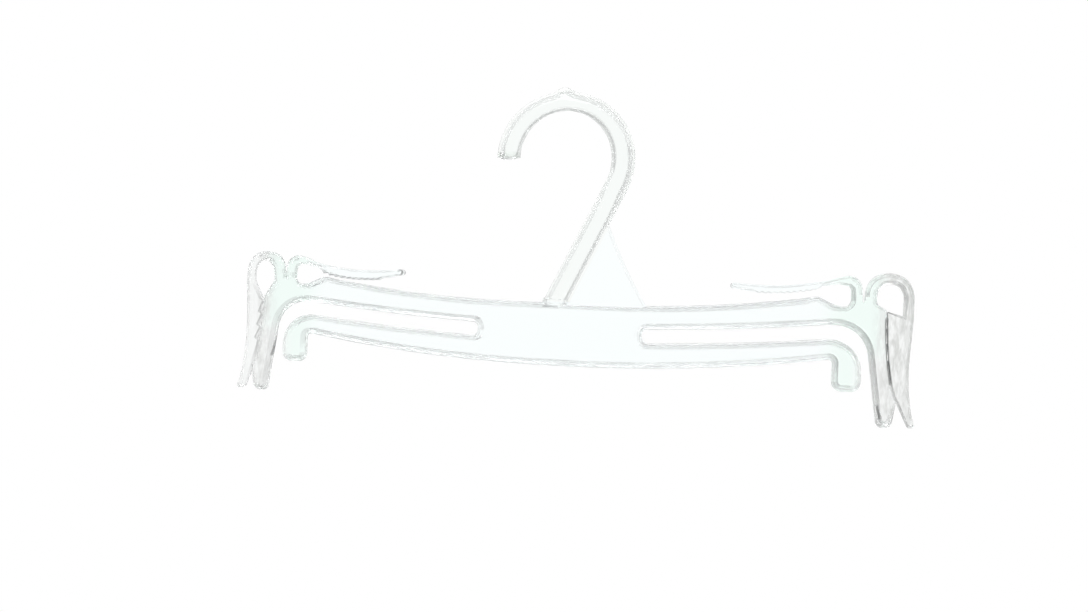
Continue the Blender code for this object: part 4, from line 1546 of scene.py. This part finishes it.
@dataclass(frozen=True)
class OuterClip(Strip):
    """Clip that loops outwards and hangs beside the outer arm, with saw teeth facing it and a flared tip."""

    shoulder_width: float = 0.0050
    crown_width: float = 0.0042
    side_width: float = 0.0041
    crown_up: float = 0.0144
    loop_radius: float = 0.0071
    side_up: float = 0.0064
    jaw_up: float = 0.0036
    clearance: float = 0.0003
    teeth_down: float = -0.0010
    teeth_pitch: float = 0.0060
    teeth_count: int = 4
    tooth_depth: float = 0.0014
    tooth_face: float = 0.0010
    land_down: float = 0.0237
    throat_down: float = 0.0292
    tip_down: float = 0.0415
    tip_out: float = 0.02085
    tip_width: float = 0.0029
    tip_round: float = 0.0010
    tip_rise: float = 0.0145
    tip_lean: float = 0.0047
    back_fall: float = 0.0153
    back_lean: float = 0.0007
    bend_start_down: float = 0.0075
    bend_run: float = 0.0060
    jaw_rim: float = 0.0011
    back_steps: int = 40

    @property
    def crown(self) -> Point:
        """Middle of the loop's crown."""
        return self.datum.outer_post + self.loop_radius, self.datum.top + self.crown_up

    def loop(self) -> tuple[list[Point], list[Point]]:
        """Both sides of the loop, from the post over the crown to the jaw.

        Returns:
            The points on the outside, and those on the eye's side.
        """
        foot = (self.datum.outer_post, self.datum.top + self.datum.outer_foot_up)
        flank = (self.crown[0] + self.loop_radius, self.datum.top + self.side_up)
        jaw = (flank[0], self.datum.top + self.jaw_up)
        up = self.quarter(foot, self.crown)
        over = self.quarter(flank, self.crown)[::-1]
        widths = blended([self.datum.outer_post_width, self.shoulder_width, self.crown_width], len(up))
        widths += blended([self.crown_width, self.side_width], len(over))[1:]
        return strip_sides(up + over[1:] + [jaw], widths + [self.side_width])

    def outline(self) -> Outline:
        """The clip's outline.

        Returns:
            The outline, from the post round the eye, down the teeth, round the tip and up the back.
        """
        datum = self.datum
        outside, eye_side = self.loop()
        inner_side = eye_side[-1][0]
        outer_side, seam = outside[-1]
        line = Outline(self.rim)
        line.run(eye_side[:-1])
        line.corner(*eye_side[-1], rim=self.jaw_rim)
        for i in range(self.teeth_count):
            down = self.teeth_down + i * self.teeth_pitch
            tip = datum.arm_outer(down) + self.clearance
            valley = min(tip + self.tooth_depth, inner_side)
            line.corner(valley, datum.top - down + self.tooth_face, self.tooth_rim, self.tooth_rim)
            line.corner(tip, datum.top - down, self.tooth_rim, self.tooth_rim)
        for down in (self.land_down, self.throat_down):
            out = datum.arm_outer(down) + self.clearance
            line.corner(out, datum.top - down, self.tip_round, self.jaw_rim)
        line.corner(*datum.place(self.tip_out - self.tip_width, -self.tip_down), self.tip_round, self.jaw_rim)
        tip = datum.place(self.tip_out, -self.tip_down)
        line.corner(*tip, self.tip_round, self.jaw_rim)
        tip_handle = (tip[0] - self.tip_lean, tip[1] + self.tip_rise)
        back_handle = (outer_side - self.back_lean, seam - self.back_fall)
        back = bezier(tip, tip_handle, back_handle, (outer_side, seam), self.back_steps)
        line.run(back[1:-1], self.jaw_rim)
        line.run(outside[:0:-1])
        line.corner(*outside[0], rim=0.0)
        return line

    def build(self, finish: ClearPolystyrene) -> bpy.types.Object:
        """Models and dresses the clip, and lets it bend round its loop.

        Args:
            finish: Its finish.

        Returns:
            The clip.
        """
        word = self.side.word
        obj = self.moulded(word + "_outer_clip", self.outline(), finish)
        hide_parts(word + "_outer_clip_spring", word + "_outer_clip_arm")
        sign = self.side.value
        start = (sign * self.crown[0], 0.0, self.crown[1] - self.bend_start_down)
        end = (start[0] + sign * self.bend_run, 0.0, start[2] - self.bend_run)
        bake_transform(obj, BODY_FRAME, word + "_outer_jaw", start=start, end=end)
        return obj


def clips() -> list[Strip]:
    """The four clips, whose shapes differ a little between the two ends, as in the photograph.

    Returns:
        The inner clips, then the outer ones.
    """
    return [
        InnerClip(
            Side.LEFT,
            root_fall=0.0046,
            pad_depth=0.0007,
            bead_radius=0.0013,
            bead_rim=0.00035,
            fine_shade=0.85,
        ),
        InnerClip(
            Side.RIGHT,
            pad_depth=0.0001,
            tooth_depth=0.0004,
            arm_length=0.0406,
            bead_radius=0.0012,
        ),
        OuterClip(
            Side.LEFT,
            loop_radius=0.0065,
            side_width=0.0032,
            crown_width=0.0037,
            tip_out=0.0202,
            rim=0.0014,
            teeth_down=0.0045,
            teeth_pitch=0.0055,
            fine_shade=0.5,
        ),
        OuterClip(
            Side.RIGHT,
            jaw_up=0.0005,
            clearance=0.00005,
            tooth_depth=0.00012,
            fine_shade=1.0,
        ),
    ]


@dataclass(frozen=True)
class Hanger:
    """The whole hanger: frame moulding and four clips."""

    finish: ClearPolystyrene = ClearPolystyrene()

    def build_frame_moulding(self) -> bpy.types.Object:
        """Models the plate, the hook with its pad and the web, and welds them into one moulding.

        Returns:
            The moulding.
        """
        plate = Plate().build()
        hook = Hook().build()
        web = Gusset().build()
        Bench.weld(plate, [hook, web, Hook().build_pad()])
        self.finish.put_on(plate)
        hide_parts("hook", "hook_gusset", "beam", "left_outer_arm", "right_outer_arm")
        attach(plate, BODY_FRAME)
        return plate

    def build(self) -> list[bpy.types.Object]:
        """Models all pieces."""
        return [self.build_frame_moulding()] + [clip.build(self.finish) for clip in clips()]


@dataclass(frozen=True)
class Studio:
    """White room round the hanger: pale floor, surroundings, soft lamp and camera."""

    floor_z: float = -0.40
    floor_size: float = 12.0
    floor_colour: Tint = (0.88, 0.88, 0.88, 1.0)
    white: Tint = (1.0, 1.0, 1.0, 1.0)
    floor_glow: float = 0.35
    fade: Span = (0.45, 0.95)
    clear: Span = (0.45, 0.65)
    lamp_size: float = 1.2
    lamp_power: float = 9.0
    lamp_place: Way = (-0.5, -0.7, 1.0)
    soft_light: float = 0.75
    card: Span = (0.45, 0.54)
    lamps: Span = (0.67, 0.78)
    room: Span = (-0.3, 0.2)
    drop: Span = (0.10, 0.35)
    front_way: Way = (-0.15, -0.99, 0.0)
    front_card: Span = (0.75, 0.9)
    ring_level: float = 0.60
    right_drop: float = 0.15
    top_drop: float = 0.15
    lamps_level: float = 0.95
    room_level: float = 0.85
    azimuth: float = 0.27444383
    elevation: float = 0.01373541
    roll: float = 0.04037054
    look: Way = (-0.00644669, 0.0, -0.07800807)
    distance: float = 0.64119273
    near_share: float = 0.01
    image_width: float = 1088.0
    focal_pixels: float = 1600.0
    sensor_width: float = 36.0

    def build(self) -> None:
        """Makes the floor, the world, the lamp and the camera."""
        self.build_floor()
        self.build_world()
        self.build_lamp()
        self.build_camera()
        bpy.context.scene.view_settings.view_transform = "Standard"

    def build_floor(self) -> None:
        """Pale floor that keeps shadows near the hanger and fades to white further out."""
        Bench.deselect()
        bpy.ops.mesh.primitive_plane_add(size=self.floor_size, location=(0.0, 0.0, self.floor_z))
        floor = bpy.context.object
        floor.name = "floor"
        material = bpy.data.materials.new("pale_floor")
        tree = ShaderTree(material)
        place = tree.node("ShaderNodeTexCoord", output="Object")
        distance = tree.node("ShaderNodeVectorMath", {"operation": "LENGTH"}, {0: place}, "Value")
        camera = tree.ray("Camera")
        others = self.seen(tree) - camera
        pale = tree.node("ShaderNodeBsdfDiffuse", sockets={"Color": self.floor_colour})
        white = tree.node("ShaderNodeEmission", sockets={"Color": self.white, "Strength": 1.0})
        share = camera * (self.floor_glow + (1.0 - self.floor_glow) * distance.ramp(*self.fade))
        share = share + others * distance.ramp(*self.clear)
        surface = tree.node("ShaderNodeMixShader", sockets={0: share, 1: pale, 2: white})
        tree.node("ShaderNodeOutputMaterial", sockets={"Surface": surface})
        floor.data.materials.append(material)

    @staticmethod
    def seen(tree: ShaderTree) -> Wire:
        """1 for rays that show the surroundings to the camera, straight, by gloss or through plastic."""
        return tree.ray("Camera").highest(tree.ray("Glossy")).highest(tree.ray("Transmission"))

    def build_world(self) -> None:
        """White surroundings, which the clear plastic shows as grey towards its edges.

        Behind the hanger stands a white card. The ring round it is darker, most of all at the right and at
        the top, and lamps shine further out. In front is a pale room, with a white card that faces reflect.
        """
        world = bpy.data.worlds.new("studio")
        bpy.context.scene.world = world
        tree = ShaderTree(world)
        place = tree.node("ShaderNodeTexCoord", output="Generated")
        back, right = self.axes()
        ahead = tree.along(place, -back)
        across = tree.along(place, right)
        upwards = tree.along(place, Vector((0.0, 0.0, 1.0)))
        off = (across * across + upwards * upwards) ** 0.5
        ring = self.ring_level * (1.0 - self.right_drop * across.ramp(*self.drop))
        ring = ring * (1.0 - self.top_drop * upwards.ramp(*self.drop))
        shade = ring + (self.lamps_level - ring) * off.ramp(*self.lamps)
        shade = shade + (1.0 - shade) * (1.0 - off.ramp(*self.card))
        shade = shade + (self.room_level - shade) * (1.0 - ahead.ramp(*self.room))
        shade = shade + (1.0 - shade) * tree.along(place, Vector(self.front_way)).ramp(*self.front_card)
        camera = tree.ray("Camera")
        seen = self.seen(tree)
        strength = camera + (seen - camera) * shade + (1.0 - seen) * self.soft_light
        surface = tree.node("ShaderNodeBackground", sockets={"Color": self.white, "Strength": strength})
        tree.node("ShaderNodeOutputWorld", sockets={"Surface": surface})

    def axes(self) -> tuple[Vector, Vector]:
        """The ways from the hanger to the camera.

        Returns:
            The way to the camera, and that to its right.
        """
        level = math.cos(self.elevation)
        back = Vector(
            (math.sin(self.azimuth) * level, -math.cos(self.azimuth) * level, math.sin(self.elevation))
        )
        return back, Vector((0.0, 0.0, 1.0)).cross(back).normalized()

    def build_lamp(self) -> None:
        """One large soft lamp above the camera's left."""
        place = Vector(self.lamp_place)
        bpy.ops.object.light_add(type="AREA", location=place)
        lamp = bpy.context.object
        lamp.name = "soft_lamp"
        lamp.data.size = self.lamp_size
        lamp.data.energy = self.lamp_power
        lamp.rotation_euler = (Vector(self.look) - place).to_track_quat("-Z", "Y").to_euler()

    def build_camera(self) -> None:
        """Camera at the photograph's viewing angle."""
        back, right = self.axes()
        up = back.cross(right)
        across = right * math.cos(self.roll) + up * math.sin(self.roll)
        upright = up * math.cos(self.roll) - right * math.sin(self.roll)
        axes = Matrix((across, upright, back)).transposed()
        eye = Vector(self.look) + back * self.distance
        bpy.ops.object.camera_add(location=eye)
        camera = bpy.context.object
        camera.matrix_world = Matrix.Translation(eye) @ axes.to_4x4()
        camera.data.sensor_fit = "HORIZONTAL"
        camera.data.sensor_width = self.sensor_width
        camera.data.lens = self.sensor_width * self.focal_pixels / self.image_width
        camera.data.clip_start = self.distance * self.near_share
        bpy.context.scene.camera = camera


def main() -> None:
    """Builds the dressed hanger and its studio."""
    logging.basicConfig(level=logging.INFO, format="%(message)s")
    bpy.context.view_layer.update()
    for piece in Hanger().build():
        log.info("%s: %d faces", piece.name, len(piece.data.polygons))
    Studio().build()


if __name__ == "__main__":
    main()
